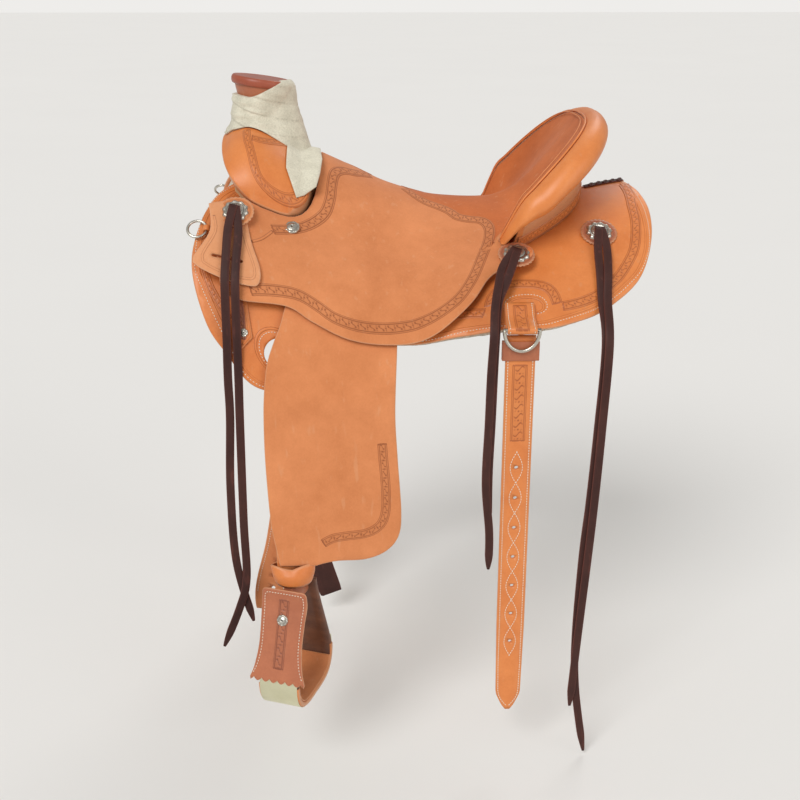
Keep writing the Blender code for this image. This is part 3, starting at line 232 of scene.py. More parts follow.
def curve(points, step=6.0):
    """Smooth run of points through a few chosen ones, with the last."""
    return flow(points, step) + [tuple(points[-1])]


def stepped(line, step):
    """Points at an even spacing along a line of pattern points: point, direction and distance."""
    length = sum(math.dist(a, b) for a, b in zip(line, line[1:]))
    count = max(2, round(length / step))
    marks = []
    i, passed = 0, 0.0
    for k in range(count + 1):
        goal = length * k / count
        while i < len(line) - 2 and passed + math.dist(line[i], line[i + 1]) < goal:
            passed += math.dist(line[i], line[i + 1])
            i += 1
        a, b = line[i], line[i + 1]
        size = math.dist(a, b)
        t = (goal - passed) / size
        marks.append(((a[0] + (b[0] - a[0]) * t, a[1] + (b[1] - a[1]) * t), goal))
    result = []
    for k, (point, goal) in enumerate(marks):
        a, b = marks[max(k - 2, 0)][0], marks[min(k + 2, count)][0]
        size = math.dist(a, b)
        result.append((point, ((b[0] - a[0]) / size, (b[1] - a[1]) / size), goal))
    return result


def smooth_fall(t):
    """1 at t = 0, falling smoothly to 0 at t = 1."""
    t = min(max(t, 0.0), 1.0)
    return 1 - t * t * (3 - 2 * t)


def mirrored(half):
    """Whole outline from the half with s >= 0, which starts and ends on the middle line."""
    return half + [(x, -s) for x, s in reversed(half) if s > ON_MIDDLE]


# The cantle's rim and the seat

def rim(angle):
    """Pattern point and height of the rim: angle 0 is the middle, 90 degrees its ends."""
    power_x, power_y, power_z = RIM_POWERS
    return undrape(CANTLE_X + CANTLE_DEPTH * math.cos(angle) ** power_x,
                   CANTLE_HALF_WIDTH * math.sin(angle) ** power_y,
                   CANTLE_BASE_Z + CANTLE_RISE * math.cos(angle) ** power_z)


RIM_COARSE = [rim(math.radians(7.5) * i) for i in range(12)]
RIM_COARSE.append((CANTLE_X, RIM_COARSE[-1][1] + 3.0, CANTLE_END_HEIGHT + GAP))
RIM = curve(RIM_COARSE, 7.0)
RIM_END_S = RIM[-1][1]


def rim_values(s):
    """x and height of the rim at s."""
    s = min(abs(s), RIM_END_S)
    for a, b in zip(RIM, RIM[1:]):
        if s <= b[1]:
            t = (s - a[1]) / (b[1] - a[1])
            return a[0] * (1 - t) + b[0] * t, a[2] * (1 - t) + b[2] * t
    return RIM[-1][0], RIM[-1][2]


def rim_offset(distance, index):
    """One of the rim's pattern points moved outwards by a distance."""
    a, b = RIM[max(index - 1, 0)], RIM[min(index + 1, len(RIM) - 1)]
    dx, ds = (0.0, 1.0) if index == 0 else (b[0] - a[0], b[1] - a[1])
    size = math.hypot(dx, ds)
    return RIM[index][0] + distance * ds / size, max(RIM[index][1] - distance * dx / size, 0.0)


def seat_top(x, s):
    """Height of the seat's face over the pattern."""
    s = abs(s)
    crown = between(SEAT_LINE, x, 1) - between(STATIONS, x, 1)
    level = JOCKEY_HIGH + max(crown - JOCKEY_HIGH, 0.0) * smooth_fall(s / SEAT_SIDE)
    rim_x, rim_d = rim_values(s)
    share = min(s / RIM_END_S, 1.0)
    reach = DISH_REACH * (1 - share) + DISH_REACH_END * share
    t = min(max((rim_x - x) / reach, 0.0), 1.0)
    fade = smooth_fall((s - RIM_END_S) / DISH_FADE_S) * smooth_fall((x - rim_x) / DISH_FADE_X)
    return level + max(rim_d - level, 0.0) * (1 - t) ** DISH_POWER * fade


def fork_top(x, s):
    """Height of the fork over the pattern."""
    full = between(FORK_LINE, x, 1) - between(STATIONS, x, 1)
    share = min(abs(s) / FORK_HALF_WIDTH, 1.0)
    edge = FORK_LOW + FORK_EDGE
    return edge + (full - edge) * (1 - share**FORK_ROUND_OUT) ** FORK_ROUND_IN


def superellipse(grow, count=96):
    """The fork's base, seen from above, larger all round by grow."""
    outline = []
    for i in range(count):
        turn = 2 * math.pi * (i + 0.5) / count
        c, k = math.cos(turn), math.sin(turn)
        outline.append((FORK_X + (FORK_HALF_LENGTH + grow) * math.copysign(abs(c) ** (2 / FORK_POWER), c),
                        (FORK_HALF_WIDTH + grow) * math.copysign(abs(k) ** (2 / FORK_POWER), k)))
    return outline


FENDER_HANG_Y = abs(drape(-110, -s_at_height(-110, -205.0, FENDER_MIDDLE), FENDER_MIDDLE).y)


def fender_y(z):
    """Distance of the hanging fender from the middle of the saddle."""
    return FENDER_HANG_Y + max(FLARE_Z - z, 0.0) * FLARE


def fender_point(x, z, d):
    """World point of the fender's pattern on the off side: draped at the top, hanging free below."""
    draped_y = drape(x, s_at_height(x, z, d), d).y
    share = smooth_fall((DRAPE_END_Z - z) / DRAPE_FADE)
    return Vector((x, draped_y * share + (fender_y(z) + d - FENDER_MIDDLE) * (1 - share), z))


# Surfaces: each takes two pattern numbers and a height over the face

def on_skirt(side):
    return lambda x, s, d: drape(x, side * s, d)


def on_seat(x, s, d):
    return drape(x, s, seat_top(x, s) + d)


def leaning(x, s, height):
    """World point over the fork, which leans forward with height."""
    point = drape(x, s, height)
    point.x -= FORK_LEAN * max(height - FORK_LOW, 0.0)
    return point


def on_fork(side, over=TREE_GAP + COVER_THICK):
    return lambda x, s, d: leaning(x, side * s, fork_top(x, s) + over + d)


def on_fender(side, base=0.0):
    def place(x, z, d):
        point = fender_point(x, z, base + d)
        return Vector((x, side * point.y, z))
    return place


def facing(place, u, side):
    """1 where a strap's own face looks away from the saddle at u, else -1."""
    return 1.0 if (place(u, 0, 1.0) - place(u, 0, 0.0)).y * side > 0 else -1.0


def on_path(path, matrix=Matrix()):
    """Surface along a strap's middle line: u along it, v across it, d out of its face."""
    points = [Vector(p) for p in path]
    marks = [0.0]
    for a, b in zip(points, points[1:]):
        marks.append(marks[-1] + (b - a).length)

    def place(u, v, d):
        i = 0
        while i < len(points) - 2 and u > marks[i + 1]:
            i += 1
        along = points[i + 1] - points[i]
        t = (u - marks[i]) / along.length
        ahead = points[min(i + 2, len(points) - 1)] - points[i]
        behind = points[i + 1] - points[max(i - 1, 0)]
        along = (behind.normalized() * (1 - t) + ahead.normalized() * t).normalized()
        wide = (ALONG_X - along * ALONG_X.dot(along)).normalized()
        spot = points[i] + (points[i + 1] - points[i]) * t
        return matrix @ (spot + wide * v + along.cross(wide) * d)
    place.length = marks[-1]
    return place


# Materials

class Value:
    """An output of a shader node that takes sums written as plain Python."""

    def __init__(self, finish, socket):
        self.finish = finish
        self.socket = socket

    def math(self, operation, *values):
        return self.finish.node("Math", {"operation": operation}, values)

    def __add__(self, other):
        return self.math("ADD", self, other)

    __radd__ = __add__

    def __sub__(self, other):
        return self.math("SUBTRACT", self, other)

    def __rsub__(self, other):
        return self.math("SUBTRACT", other, self)

    def __mul__(self, other):
        return self.math("MULTIPLY", self, other)

    __rmul__ = __mul__


class Finish:
    """A material built up node by node on a Principled shader."""

    def __init__(self, name, constants):
        self.material = bpy.data.materials.new(name)
        self.material.use_nodes = True
        self.tree = self.material.node_tree
        self.shader = self.tree.nodes["Principled BSDF"]
        for socket, value in constants.items():
            self.shader.inputs[socket].default_value = value
        self.place = self.node("TexCoord", out="Object")

    def node(self, kind, settings=None, values=(), out=0):
        """Any node: its settings first, then the values or links of its sockets."""
        node = self.tree.nodes.new("ShaderNode" + kind)
        for key, value in (settings or {}).items():
            setattr(node, key, value)
        for key, value in (values.items() if isinstance(values, dict) else enumerate(values)):
            self.join(value, node.inputs[key])
        return Value(self, node.outputs[out])

    def join(self, value, socket):
        if isinstance(value, Value):
            self.tree.links.new(value.socket, socket)
        else:
            socket.default_value = value

    def noise(self, scale, detail=3.0, roughness=0.55, stretch=None):
        """Noise over the piece, about 0 to 1. The scale is in features per metre."""
        place = self.place
        if stretch:
            place = self.node("Mapping", values={"Vector": place, "Scale": stretch})
        return self.node("TexNoise", values={"Vector": place, "Scale": scale, "Detail": detail,
                                             "Roughness": roughness})

    def mix(self, share, first, second):
        """Colour between two others."""
        colours = [value if isinstance(value, Value) else (*value, 1.0) for value in (first, second)]
        return self.node("Mix", {"data_type": "RGBA"}, {0: share, 6: colours[0], 7: colours[1]}, out=2)

    def spread(self, value, low, high):
        """Stretch a value so that low becomes 0 and high becomes 1."""
        return self.node("MapRange", {"clamp": True}, (value, low, high, 0.0, 1.0))

    def attribute(self, name):
        return self.node("Attribute", {"attribute_name": name}, out="Fac")

    def colour(self, value):
        self.join(value, self.shader.inputs["Base Color"])

    def roughness(self, value):
        self.join(value, self.shader.inputs["Roughness"])

    def bump(self, height, strength, distance_m):
        normal = self.node("Bump", values={"Strength": strength, "Distance": distance_m, "Height": height})
        self.join(normal, self.shader.inputs["Normal"])


def leather(name, light, dark, groove, edge, gloss, nap=0.0, coat=0.0, region=None):
    """Leather: patches and fibres of tone, dark in stamped grooves and pale on cut edges."""
    finish = Finish(name, {"Coat Weight": coat, "Coat Roughness": 0.3, "Sheen Weight": nap * 0.12,
                           "Sheen Roughness": 0.6, "Specular IOR Level": 0.2 + coat})
    patches = finish.noise(7.0, 4.0, 0.5)
    clouds = finish.noise(38.0, 5.0, 0.6)
    fibres = finish.noise(330.0, 5.0, 0.7)
    tone = finish.spread(patches * 0.5 + clouds * 0.3 + fibres * 0.2, 0.36, 0.66)
    colour = finish.mix(tone, dark, light)
    if region:
        dish_light, dish_dark = region
        dish = finish.mix(tone, dish_dark, dish_light)
        colour = finish.mix(finish.attribute("dish"), colour, dish)
    scuffs = finish.spread(finish.noise(130.0, 2.0, 0.4, (1.0, 1.0, 0.22)), 0.64, 0.74)
    colour = finish.mix(scuffs * 0.22, colour, edge)
    colour = finish.mix(finish.attribute("depth") * 0.9, colour, groove)
    colour = finish.mix(finish.attribute("edge") * 0.8, colour, edge)
    finish.colour(colour)
    finish.roughness(finish.spread(fibres * 0.5 + clouds * 0.5, 0.0, 1.0) * 0.25 + gloss)
    grain = finish.noise(900.0, 3.0, 0.7)
    finish.bump(grain * 0.6 + fibres * 0.4, 0.35 + nap * 0.35, 0.0006)
    return finish.material


def metal(name, light, dark, rough, tarnish_scale):
    """Metal with tarnish in its hollows and fine scratches."""
    finish = Finish(name, {"Metallic": 1.0})
    cloud = finish.noise(tarnish_scale, 4.0)
    tone = finish.spread(cloud, 0.35, 0.7)
    colour = finish.mix(tone * 0.35, light, dark)
    finish.colour(finish.mix(finish.attribute("depth"), colour, (0.035, 0.03, 0.026)))
    finish.roughness(cloud * 0.2 + finish.attribute("depth") * 0.3 + rough)
    finish.bump(finish.noise(1400.0, 2.0), 0.12, 0.0003)
    return finish.material


def thread():
    """Waxed linen thread."""
    finish = Finish("thread", {"Sheen Weight": 0.1})
    tone = finish.noise(900.0, 2.0)
    finish.colour(finish.mix(tone, (0.72, 0.62, 0.47), (0.90, 0.85, 0.74)))
    finish.roughness(tone * 0.2 + 0.55)
    finish.bump(tone, 0.3, 0.0003)
    return finish.material


def mulehide():
    """Pale split hide of the horn's wrap, speckled with fibres, with painted grey shade in its laps and
    creases.
    """
    finish = Finish("mulehide", {"Sheen Weight": 0.15})
    fibres = finish.noise(420.0, 6.0, 0.75)
    cloud = finish.noise(45.0, 4.0)
    tone = finish.spread(fibres * 0.6 + cloud * 0.4, 0.34, 0.62)
    colour = finish.mix(tone, (0.50, 0.47, 0.36), (0.76, 0.72, 0.58))
    # painted shade: the wrap's depth attribute darkens its laps, creases, hem and rolled-in top towards grey
    finish.colour(finish.mix(finish.attribute("depth") * 0.75, colour, (0.30, 0.28, 0.21)))
    finish.roughness(cloud * 0.1 + 0.85)
    finish.bump(fibres, 0.6, 0.0010)
    return finish.material


def wool():
    """Woolly fleece: curled locks of cream wool, with painted shade in the hollows between them."""
    finish = Finish("fleece", {"Sheen Weight": 0.4})
    locks = finish.node("TexVoronoi", {"feature": "SMOOTH_F1"}, {"Vector": finish.place, "Scale": 160.0})
    curls = finish.noise(420.0, 4.0, 0.7)
    # painted shade: brown where the bump sinks between the locks, cream on their tops
    finish.colour(finish.mix(finish.spread(locks + curls * 0.5, 0.2, 0.9), (0.84, 0.76, 0.60),
                             (0.50, 0.40, 0.27)))
    finish.roughness(curls * 0.05 + 0.93)
    finish.bump(1 - locks + curls * 0.6, 0.9, 0.003)
    return finish.material


def wood(name, light, dark, rough):
    """Rawhide or wood with long grain."""
    finish = Finish(name, {})
    grain = finish.noise(60.0, 5.0, 0.6, (0.2, 1.0, 1.0))
    finish.colour(finish.mix(finish.spread(grain, 0.3, 0.7), dark, light))
    finish.roughness(grain * 0.2 + rough)
    finish.bump(grain, 0.3, 0.0008)
    return finish.material


CUT_EDGE = (0.62, 0.31, 0.16)
MATERIALS = {
    "rough": leather("rough_out_leather", (0.73, 0.275, 0.110), (0.56, 0.190, 0.066), (0.22, 0.06, 0.022),
                     (0.70, 0.38, 0.21), 0.74, nap=0.7, region=((0.64, 0.180, 0.050), (0.45, 0.110, 0.026))),
    "rough_pale": leather("pale_rough_leather", (0.78, 0.37, 0.185), (0.64, 0.26, 0.11), (0.28, 0.09, 0.04),
                          (0.72, 0.42, 0.25), 0.62, nap=0.7),
    "horn_brown": leather("horn_leather", (0.42, 0.10, 0.045), (0.25, 0.05, 0.025), (0.12, 0.03, 0.015),
                          (0.5, 0.2, 0.1), 0.34, coat=0.2),
    "smooth": leather("smooth_leather", (0.78, 0.27, 0.075), (0.60, 0.165, 0.036), (0.30, 0.070, 0.018),
                      CUT_EDGE, 0.32, coat=0.18),
    "brown": leather("brown_leather", (0.50, 0.165, 0.075), (0.34, 0.10, 0.045), (0.16, 0.04, 0.02),
                     CUT_EDGE, 0.34, coat=0.2),
    "dark": leather("oiled_latigo", (0.070, 0.026, 0.020), (0.036, 0.013, 0.011), (0.02, 0.01, 0.01),
                    (0.20, 0.060, 0.045), 0.42, coat=0.0),
    "silver": metal("engraved_silver", (0.62, 0.59, 0.52), (0.40, 0.37, 0.31), 0.20, 60.0),
    "binding": metal("galvanised_binding", (0.80, 0.78, 0.56), (0.64, 0.62, 0.42), 0.34, 40.0),
    "thread": thread(),
    "mulehide": mulehide(),
    "fleece": wool(),
    "rawhide": wood("rawhide", (0.66, 0.52, 0.32), (0.48, 0.34, 0.18), 0.5),
    "stirrup_wood": wood("stirrup_wood", (0.20, 0.075, 0.035), (0.10, 0.035, 0.018), 0.35),
}


# Making pieces

def add_piece(name, mesh, finish, body=None, stands_for=()):
    """Add a mesh as a piece that rides on a body and stands for some CAD nodes."""
    for face in mesh.polygons:
        face.use_smooth = True
    mesh.materials.clear()
    mesh.materials.append(MATERIALS[finish])
    piece = new_object(name, mesh)
    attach(piece, body or BODY[stands_for[0]])
    if stands_for:
        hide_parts(*stands_for)
    return piece


def to_mesh(name, shape):
    """Turn a bmesh into a mesh, its values for depth, edge and dish kept as attributes."""
    mesh = bpy.data.meshes.new(name)
    shape.to_mesh(mesh)
    shape.free()
    return mesh


def sheet_mesh(name, outline, place, low, high, step=8.0, rim=1.3, dish=None, flat_rim=False):
    """Leather sheet: a flat outline cut to a grid, thickened, bent over a surface, its edges rounded."""
    shape = bmesh.new()
    edge = shape.verts.layers.float.new("edge")
    region = shape.verts.layers.float.new("dish") if dish else None
    shape.faces.new([shape.verts.new((a, b, 0.0)) for a, b in outline])
    bmesh.ops.recalc_face_normals(shape, faces=shape.faces[:])
    for vert in shape.verts:
        vert[edge] = 1.0
    inset = bmesh.ops.inset_region(shape, faces=shape.faces[:], thickness=rim, use_even_offset=True,
                                   use_boundary=True)
    inner = {vert for face in shape.faces if face not in inset["faces"] for vert in face.verts}
    for vert in shape.verts:
        vert[edge] = 0.0 if vert in inner else 1.0
    for axis in (0, 1):
        values = [vert.co[axis] for vert in shape.verts]
        line = math.ceil(min(values) / step) * step
        while line < max(values):
            spot, normal = [0.0] * 3, [0.0] * 3
            spot[axis], normal[axis] = line, 1.0
            bmesh.ops.bisect_plane(shape, geom=shape.verts[:] + shape.edges[:] + shape.faces[:], dist=0.3,
                                   plane_co=spot, plane_no=normal)
            line += step
    for vert in shape.verts:
        if vert.is_boundary:
            vert[edge] = 1.0
    bmesh.ops.triangulate(shape, faces=[face for face in shape.faces if len(face.verts) > 4])
    result = bmesh.ops.extrude_face_region(shape, geom=shape.faces[:])
    raised = {item for item in result["geom"] if isinstance(item, bmesh.types.BMVert)}
    for vert in shape.verts:
        a, b = vert.co.x, vert.co.y
        bottom = low(a, b) if callable(low) else low
        top = high(a, b) if callable(high) else high
        round_off = 0.0 if flat_rim else vert[edge] * min(1.0, (top - bottom) * 0.3)
        if region:
            vert[region] = dish(a, b)
        vert.co = place(a, b, top - round_off if vert in raised else bottom + round_off) * MM
    bmesh.ops.recalc_face_normals(shape, faces=shape.faces[:])
    return to_mesh(name, shape)


def sheet_piece(name, outline, place, low, high, finish, body=None, stands_for=(), **options):
    return add_piece(name, sheet_mesh(name, outline, place, low, high, **options), finish, body, stands_for)


def grid(columns, rows, *layers):
    """Flat grid to bend into shape: its bmesh, each vertex with its column and row, its new layers."""
    shape = bmesh.new()
    made = [shape.verts.layers.float.new(layer) for layer in layers]
    bmesh.ops.create_grid(shape, x_segments=columns, y_segments=rows, size=0.5)
    cells = [(vert, round((vert.co.x + 0.5) * columns), round((vert.co.y + 0.5) * rows))
             for vert in shape.verts]
    return shape, cells, made


def weld(shape, matrix=Matrix()):
    """Close a bent shape's seams, face it outward and put it in place."""
    bmesh.ops.remove_doubles(shape, verts=shape.verts[:], dist=WELD_M)
    bmesh.ops.recalc_face_normals(shape, faces=shape.faces[:])
    bmesh.ops.transform(shape, matrix=matrix, verts=shape.verts[:])
    return shape


def sweep_mesh(name, rings):
    """Solid drawn from ring to ring. A ring is a list of points, each with its share of cut edge."""
    shape = bmesh.new()
    edge = shape.verts.layers.float.new("edge")
    face = None
    for ring in rings:
        if face is None:
            face = shape.faces.new([shape.verts.new(point * MM) for point, _ in ring])
        else:
            behind, is_end = face, len(shape.faces) == 1
            result = bmesh.ops.extrude_face_region(shape, geom=[behind])
            face = next(item for item in result["geom"] if isinstance(item, bmesh.types.BMFace))
            if not is_end and behind.is_valid:
                bmesh.ops.delete(shape, geom=[behind], context="FACES_ONLY")
        for vert, (point, cut) in zip(face.verts, ring):
            vert.co = point * MM
            vert[edge] = cut
    bmesh.ops.recalc_face_normals(shape, faces=shape.faces[:])
    return to_mesh(name, shape)


def swept_mesh(name, path, outline, across=ALONG_X, matrix=Matrix()):
    """Strap or wire along a path. An outline gives (sideways, outward, edge) for a share of the path."""
    points = [Vector(p) for p in path]
    last = len(points) - 1
    rings = []
    for i, point in enumerate(points):
        along = (points[min(i + 1, last)] - points[max(i - 1, 0)]).normalized()
        wide = (across - along * across.dot(along)).normalized()
        deep = along.cross(wide)
        rings.append([(matrix @ (point + wide * v + deep * d), cut) for v, d, cut in outline(i / last)])
    return sweep_mesh(name, rings)


def swept_piece(name, path, outline, finish, body=None, stands_for=(), **options):
    return add_piece(name, swept_mesh(name, path, outline, **options), finish, body, stands_for)


def flat_section(width, thick, soft=0.9):
    """Outline of a flat strap with rounded, pale edges; width may change along it."""
    def outline(share):
        w = (width(share) if callable(width) else width) / 2
        t = thick / 2
        r = min(soft, t * 0.7)
        half = ((w, -t + r, 1.0), (w, t - r, 1.0), (w - r, t, 0.1), (w * 0.4, t, 0.0))
        other = tuple((-v, d, cut) for v, d, cut in reversed(half[1:]))
        low = ((-w, -t + r, 1.0), (-w + r, -t, 0.1), (0.0, -t, 0.0), (w - r, -t, 0.1))
        return half + other + low
    return outline


def round_section(radius, count=14, relief=0.0, twist=0.0):
    """Outline of a round wire, or of a twisted rope of two strands."""
    def outline(share):
        ring = []
        for i in range(count):
            turn = 2 * math.pi * i / count
            r = radius + relief * math.cos(2 * turn + share * twist)
            ring.append((r * math.cos(turn), r * math.sin(turn), 0.0))
        return ring
    return outline


# Across a stamped border, from its edge inwards: distance, height, darkness
STAMP_PROFILE = ((0.0, -0.5, 0.2), (0.8, 0.10, 1.0), (1.5, 0.60, 0.35), (2.1, 0.95, 0.0), (2.8, 0.60, 0.4),
                 (3.4, 0.08, 1.0), (4.2, 0.40, 0.60))
STAMP_HIGH, STAMP_DEEP, STAMP_DARK = 0.90, 0.80, 0.16
STRIP_STEP, STRIP_ROW, STRIP_END = 1.25, 1.1, 3.0
STRIP_THICK_M = 0.0005


def stamp(width, pitch=13.0):
    """Relief of a stamped border: a double line along each edge, S cuts and dots between them."""
    half = width / 2
    inner = half - STAMP_PROFILE[-1][0]

    def relief(u, v):
        e = half - abs(v)
        if e < STAMP_PROFILE[-1][0]:
            for a, b in zip(STAMP_PROFILE, STAMP_PROFILE[1:]):
                if e <= b[0]:
                    t = (e - a[0]) / (b[0] - a[0])
                    return a[1] + (b[1] - a[1]) * t, a[2] + (b[2] - a[2]) * t
        along = ((u / pitch) % 1.0 - 0.5) * pitch
        bend = 0.24 * pitch * math.sin(math.pi * v / inner)
        cut = smooth_fall((abs(along - bend) - 0.35) / 1.1) * smooth_fall((abs(v) - inner * 0.80) / 0.9)
        beside = abs(along) - 0.5 * pitch
        dot = smooth_fall((math.hypot(beside, v) - 0.7) / 1.0)
        side_dot = smooth_fall((math.hypot(beside, abs(v) - inner * 0.62) - 0.4) / 0.9)
        deep = max(cut, dot, side_dot * 0.7)
        return STAMP_HIGH - STAMP_DEEP * deep, STAMP_DARK + (1 - STAMP_DARK) * deep
    return relief


def strip_piece(name, line, place, width, relief, finish, body="saddle"):
    """Strip of stamped leather laid along a line of pattern points."""
    marks = stepped(line, STRIP_STEP)
    count, rows = len(marks) - 1, max(6, round(width / STRIP_ROW))
    shape, cells, (depth,) = grid(count, rows, "depth")
    for vert, column, row in cells:
        (a, b), (ta, tb), u = marks[column]
        v = row / rows * width - width / 2
        height, dark = relief(u, v)
        end = min(u, marks[-1][2] - u)
        if end < STRIP_END:
            height, dark = height * end / STRIP_END - 0.3 * (1 - end / STRIP_END), 0.8
        vert.co = place(a - tb * v, b + ta * v, height) * MM
        vert[depth] = dark
    face_out(shape, place, marks)
    bmesh.ops.solidify(shape, geom=shape.faces[:], thickness=STRIP_THICK_M)
    return add_piece(name, to_mesh(name, shape), finish, body)


def face_out(shape, place, marks):
    """Turn an open strip's faces away from the leather under it."""
    shape.normal_update()
    (a, b), _, _ = marks[len(marks) // 2]
    out = place(a, b, 1.0) - place(a, b, 0.0)
    middle = place(a, b, 0.0) * MM
    nearest = min(shape.faces, key=lambda face: (face.calc_center_median() - middle).length)
    if nearest.normal.dot(out) < 0:
        bmesh.ops.reverse_faces(shape, faces=shape.faces[:])


STITCH_PITCH, STITCH_LENGTH, STITCH_WIDTH, STITCH_HEIGHT, STITCH_LIFT = 4.4, 3.3, 1.25, 1.0, 0.25


def stitch_piece(name, lines, place, body="saddle", pitch=STITCH_PITCH, size=1.0):
    """Row of thread stitches along lines of pattern points."""
    shape = bmesh.new()
    for line in lines:
        for (a, b), (ta, tb), _ in stepped(line, pitch):
            here = place(a, b, STITCH_LIFT)
            along = (place(a + ta, b + tb, STITCH_LIFT) - place(a - ta, b - tb, STITCH_LIFT)).normalized()
            out = (place(a, b, STITCH_LIFT + 1.0) - here).normalized()
            wide = out.cross(along)
            turn = Matrix((along * STITCH_LENGTH / 2, wide * STITCH_WIDTH / 2,
                           out * STITCH_HEIGHT / 2)).transposed()
            matrix = Matrix.Translation(here * MM) @ (turn * (MM * size)).to_4x4()
            bmesh.ops.create_icosphere(shape, subdivisions=1, radius=1.0, matrix=matrix)
    bmesh.ops.recalc_face_normals(shape, faces=shape.faces[:])
    return add_piece(name, to_mesh(name, shape), "thread", body)


def carve(piece, cutters):
    """Cut holes in a piece with closed meshes, and apply the cut."""
    for mesh in cutters:
        cutter = new_object("cutter", mesh)
        boolean = piece.modifiers.new("cut", "BOOLEAN")
        boolean.object = cutter
        bpy.context.view_layer.update()
        carved = bpy.data.meshes.new_from_object(piece.evaluated_get(bpy.context.evaluated_depsgraph_get()))
        piece.modifiers.clear()
        piece.data = carved
        bpy.data.objects.remove(cutter)


def hole_cutter(place, a, b, radius, stretch=1.0, segments=20, reach=6.0):
    """Cutter for a round hole or a slot at a pattern point."""
    middle = place(a, b, 0.0)
    along = (place(a + 1, b, 0.0) - place(a - 1, b, 0.0)).normalized()
    out = (place(a, b, 1.0) - middle).normalized()
    wide = out.cross(along)
    shape = bmesh.new()
    bmesh.ops.create_cone(shape, cap_ends=True, segments=segments, radius1=1.0, radius2=1.0, depth=2.0)
    turn = Matrix((along * radius * stretch, wide * radius, out * reach)).transposed()
    bmesh.ops.transform(shape, matrix=Matrix.Translation(middle * MM) @ (turn * MM).to_4x4(),
                        verts=shape.verts[:])
    bmesh.ops.recalc_face_normals(shape, faces=shape.faces[:])
    return to_mesh("hole", shape)


FLAT_ANGLE, SHARP_ANGLE = math.radians(1.5), math.radians(38)
TURNING_STEPS = 72


def dressed(node, finish, bevel):
    """A CAD node's own shape with its flat faces joined, its edges rounded and a better material."""
    shape = bmesh.new()
    shape.from_mesh(frame["nodes"][node].data)
    bmesh.ops.remove_doubles(shape, verts=shape.verts[:], dist=WELD_M)
    bmesh.ops.dissolve_limit(shape, angle_limit=FLAT_ANGLE, verts=shape.verts[:], edges=shape.edges[:])
    sharp = [edge for edge in shape.edges if len(edge.link_faces) == 2
             and edge.calc_face_angle(0.0) > SHARP_ANGLE]
    bmesh.ops.bevel(shape, geom=sharp, offset=bevel * MM, affect="EDGES", segments=2, profile=0.5,
                    material=-1, clamp_overlap=True)
    bmesh.ops.triangulate(shape, faces=[face for face in shape.faces if len(face.verts) > 4])
    return add_piece(node + "_piece", to_mesh(node, shape), finish, None, (node,))


def spun(shape, steps, matrix):
    """Spin a bmesh's line or circle round the local Z axis, and put the result in place."""
    bmesh.ops.spin(shape, geom=shape.verts[:] + shape.edges[:], cent=(0, 0, 0), axis=(0, 0, 1),
                   angle=2 * math.pi, steps=steps, use_merge=True)
    return weld(shape, matrix)


def lathe_piece(name, profile, matrix, finish, stands_for):
    """Turned piece: a profile of (radius, height) spun round its axis."""
    shape = bmesh.new()
    verts = [shape.verts.new((r * MM, 0.0, z * MM)) for r, z in profile]
    for pair in zip(verts, verts[1:]):
        shape.edges.new(pair)
    spun(shape, TURNING_STEPS, matrix)
    return add_piece(name, to_mesh(name, shape), finish, None, stands_for)


# Cords: the saddle strings, each a flat lace that comes out of a concho and hangs free

LACE_WIDTH, LACE_THICK, LACE_SOFT = 12.0, 2.6, 0.8
ROUTE_STEP, LACE_STEP = 34.0, 9.0
STRINGS = (
    ("front", (
        (((-239.5, 158, 38), (-246, 192, 33), (-248, 232, 31.5), (-249, 264, 31), (-249, 300, 20),
          (-249, 335, 10)),
         ((-250, 250, -160), (-250, 250, -217), (-255, 250, -329), (-252, 250, -449), (-231, 250, -548))),
        (((-236.5, 159, 37.2), (-232, 192, 33), (-234, 232, 31.5), (-235, 264, 31), (-235, 300, 20),
          (-235, 335, 10)),
         ((-235, 252, -160), (-236, 254, -221), (-238, 254, -378), (-238, 254, -473), (-251, 254, -524),
          (-277, 254, -589))))),
    ("seat", (
        (((158.5, 174, 31.9), (138, 200, 29), (128, 235, 27), (122, 265, 26)),
         ((119, 281, -94), (117, 277, -150), (116, 275, -221), (114, 275, -315), (121, 275, -395),
          (121, 275, -453))),
        (((161.5, 175, 31.1), (152, 200, 29), (141, 225, 23), (128, 252, 20)),
         ((122, 276, -94), (121, 273, -150), (120, 271.5, -221), (118, 271.5, -300), (119, 271.5, -380))))),
    ("rear", (
        (((285.5, 136, 13.2), (280, 170, 9), (279, 215, 6), (278, 255, 5)),
         ((278, 262, -112), (274, 263, -239), (269, 263, -349), (263, 263, -447), (260, 263, -585),
          (265, 263, -675), (283, 263, -788))),
        (((288.5, 137, 12.4), (293, 170, 9), (290, 215, 10), (286, 255, 9)),
         ((282, 267, -112), (279, 267, -239), (275, 267, -349), (270, 267, -447), (262, 267, -585),
          (256, 267, -700))))))


def make_strings():
    width = lambda share: LACE_WIDTH * min(1.0, 0.35 + (1 - share) * 14)
    section = flat_section(width, LACE_THICK, LACE_SOFT)
    for name, runs in STRINGS:
        for index, (pattern, free) in enumerate(runs):
            points = [tuple(drape(x, s, d)) for x, s, d in pattern] + list(free)
            route = [(x, -y, z) for x, y, z in curve(points, ROUTE_STEP)]
            fine = [(x, -y, z) for x, y, z in curve(points, LACE_STEP)]
            piece = swept_piece(f"{name}_string_{index + 1}", fine, section, "dark", "saddle",
                                (name + "_strings_near",))
            length = sum(math.dist(a, b) for a, b in zip(route, route[1:])) * MM
            tuple(c * MM for c in route[0])
            [tuple(c * MM for c in point) for point in route]


# Skirts and their fleece

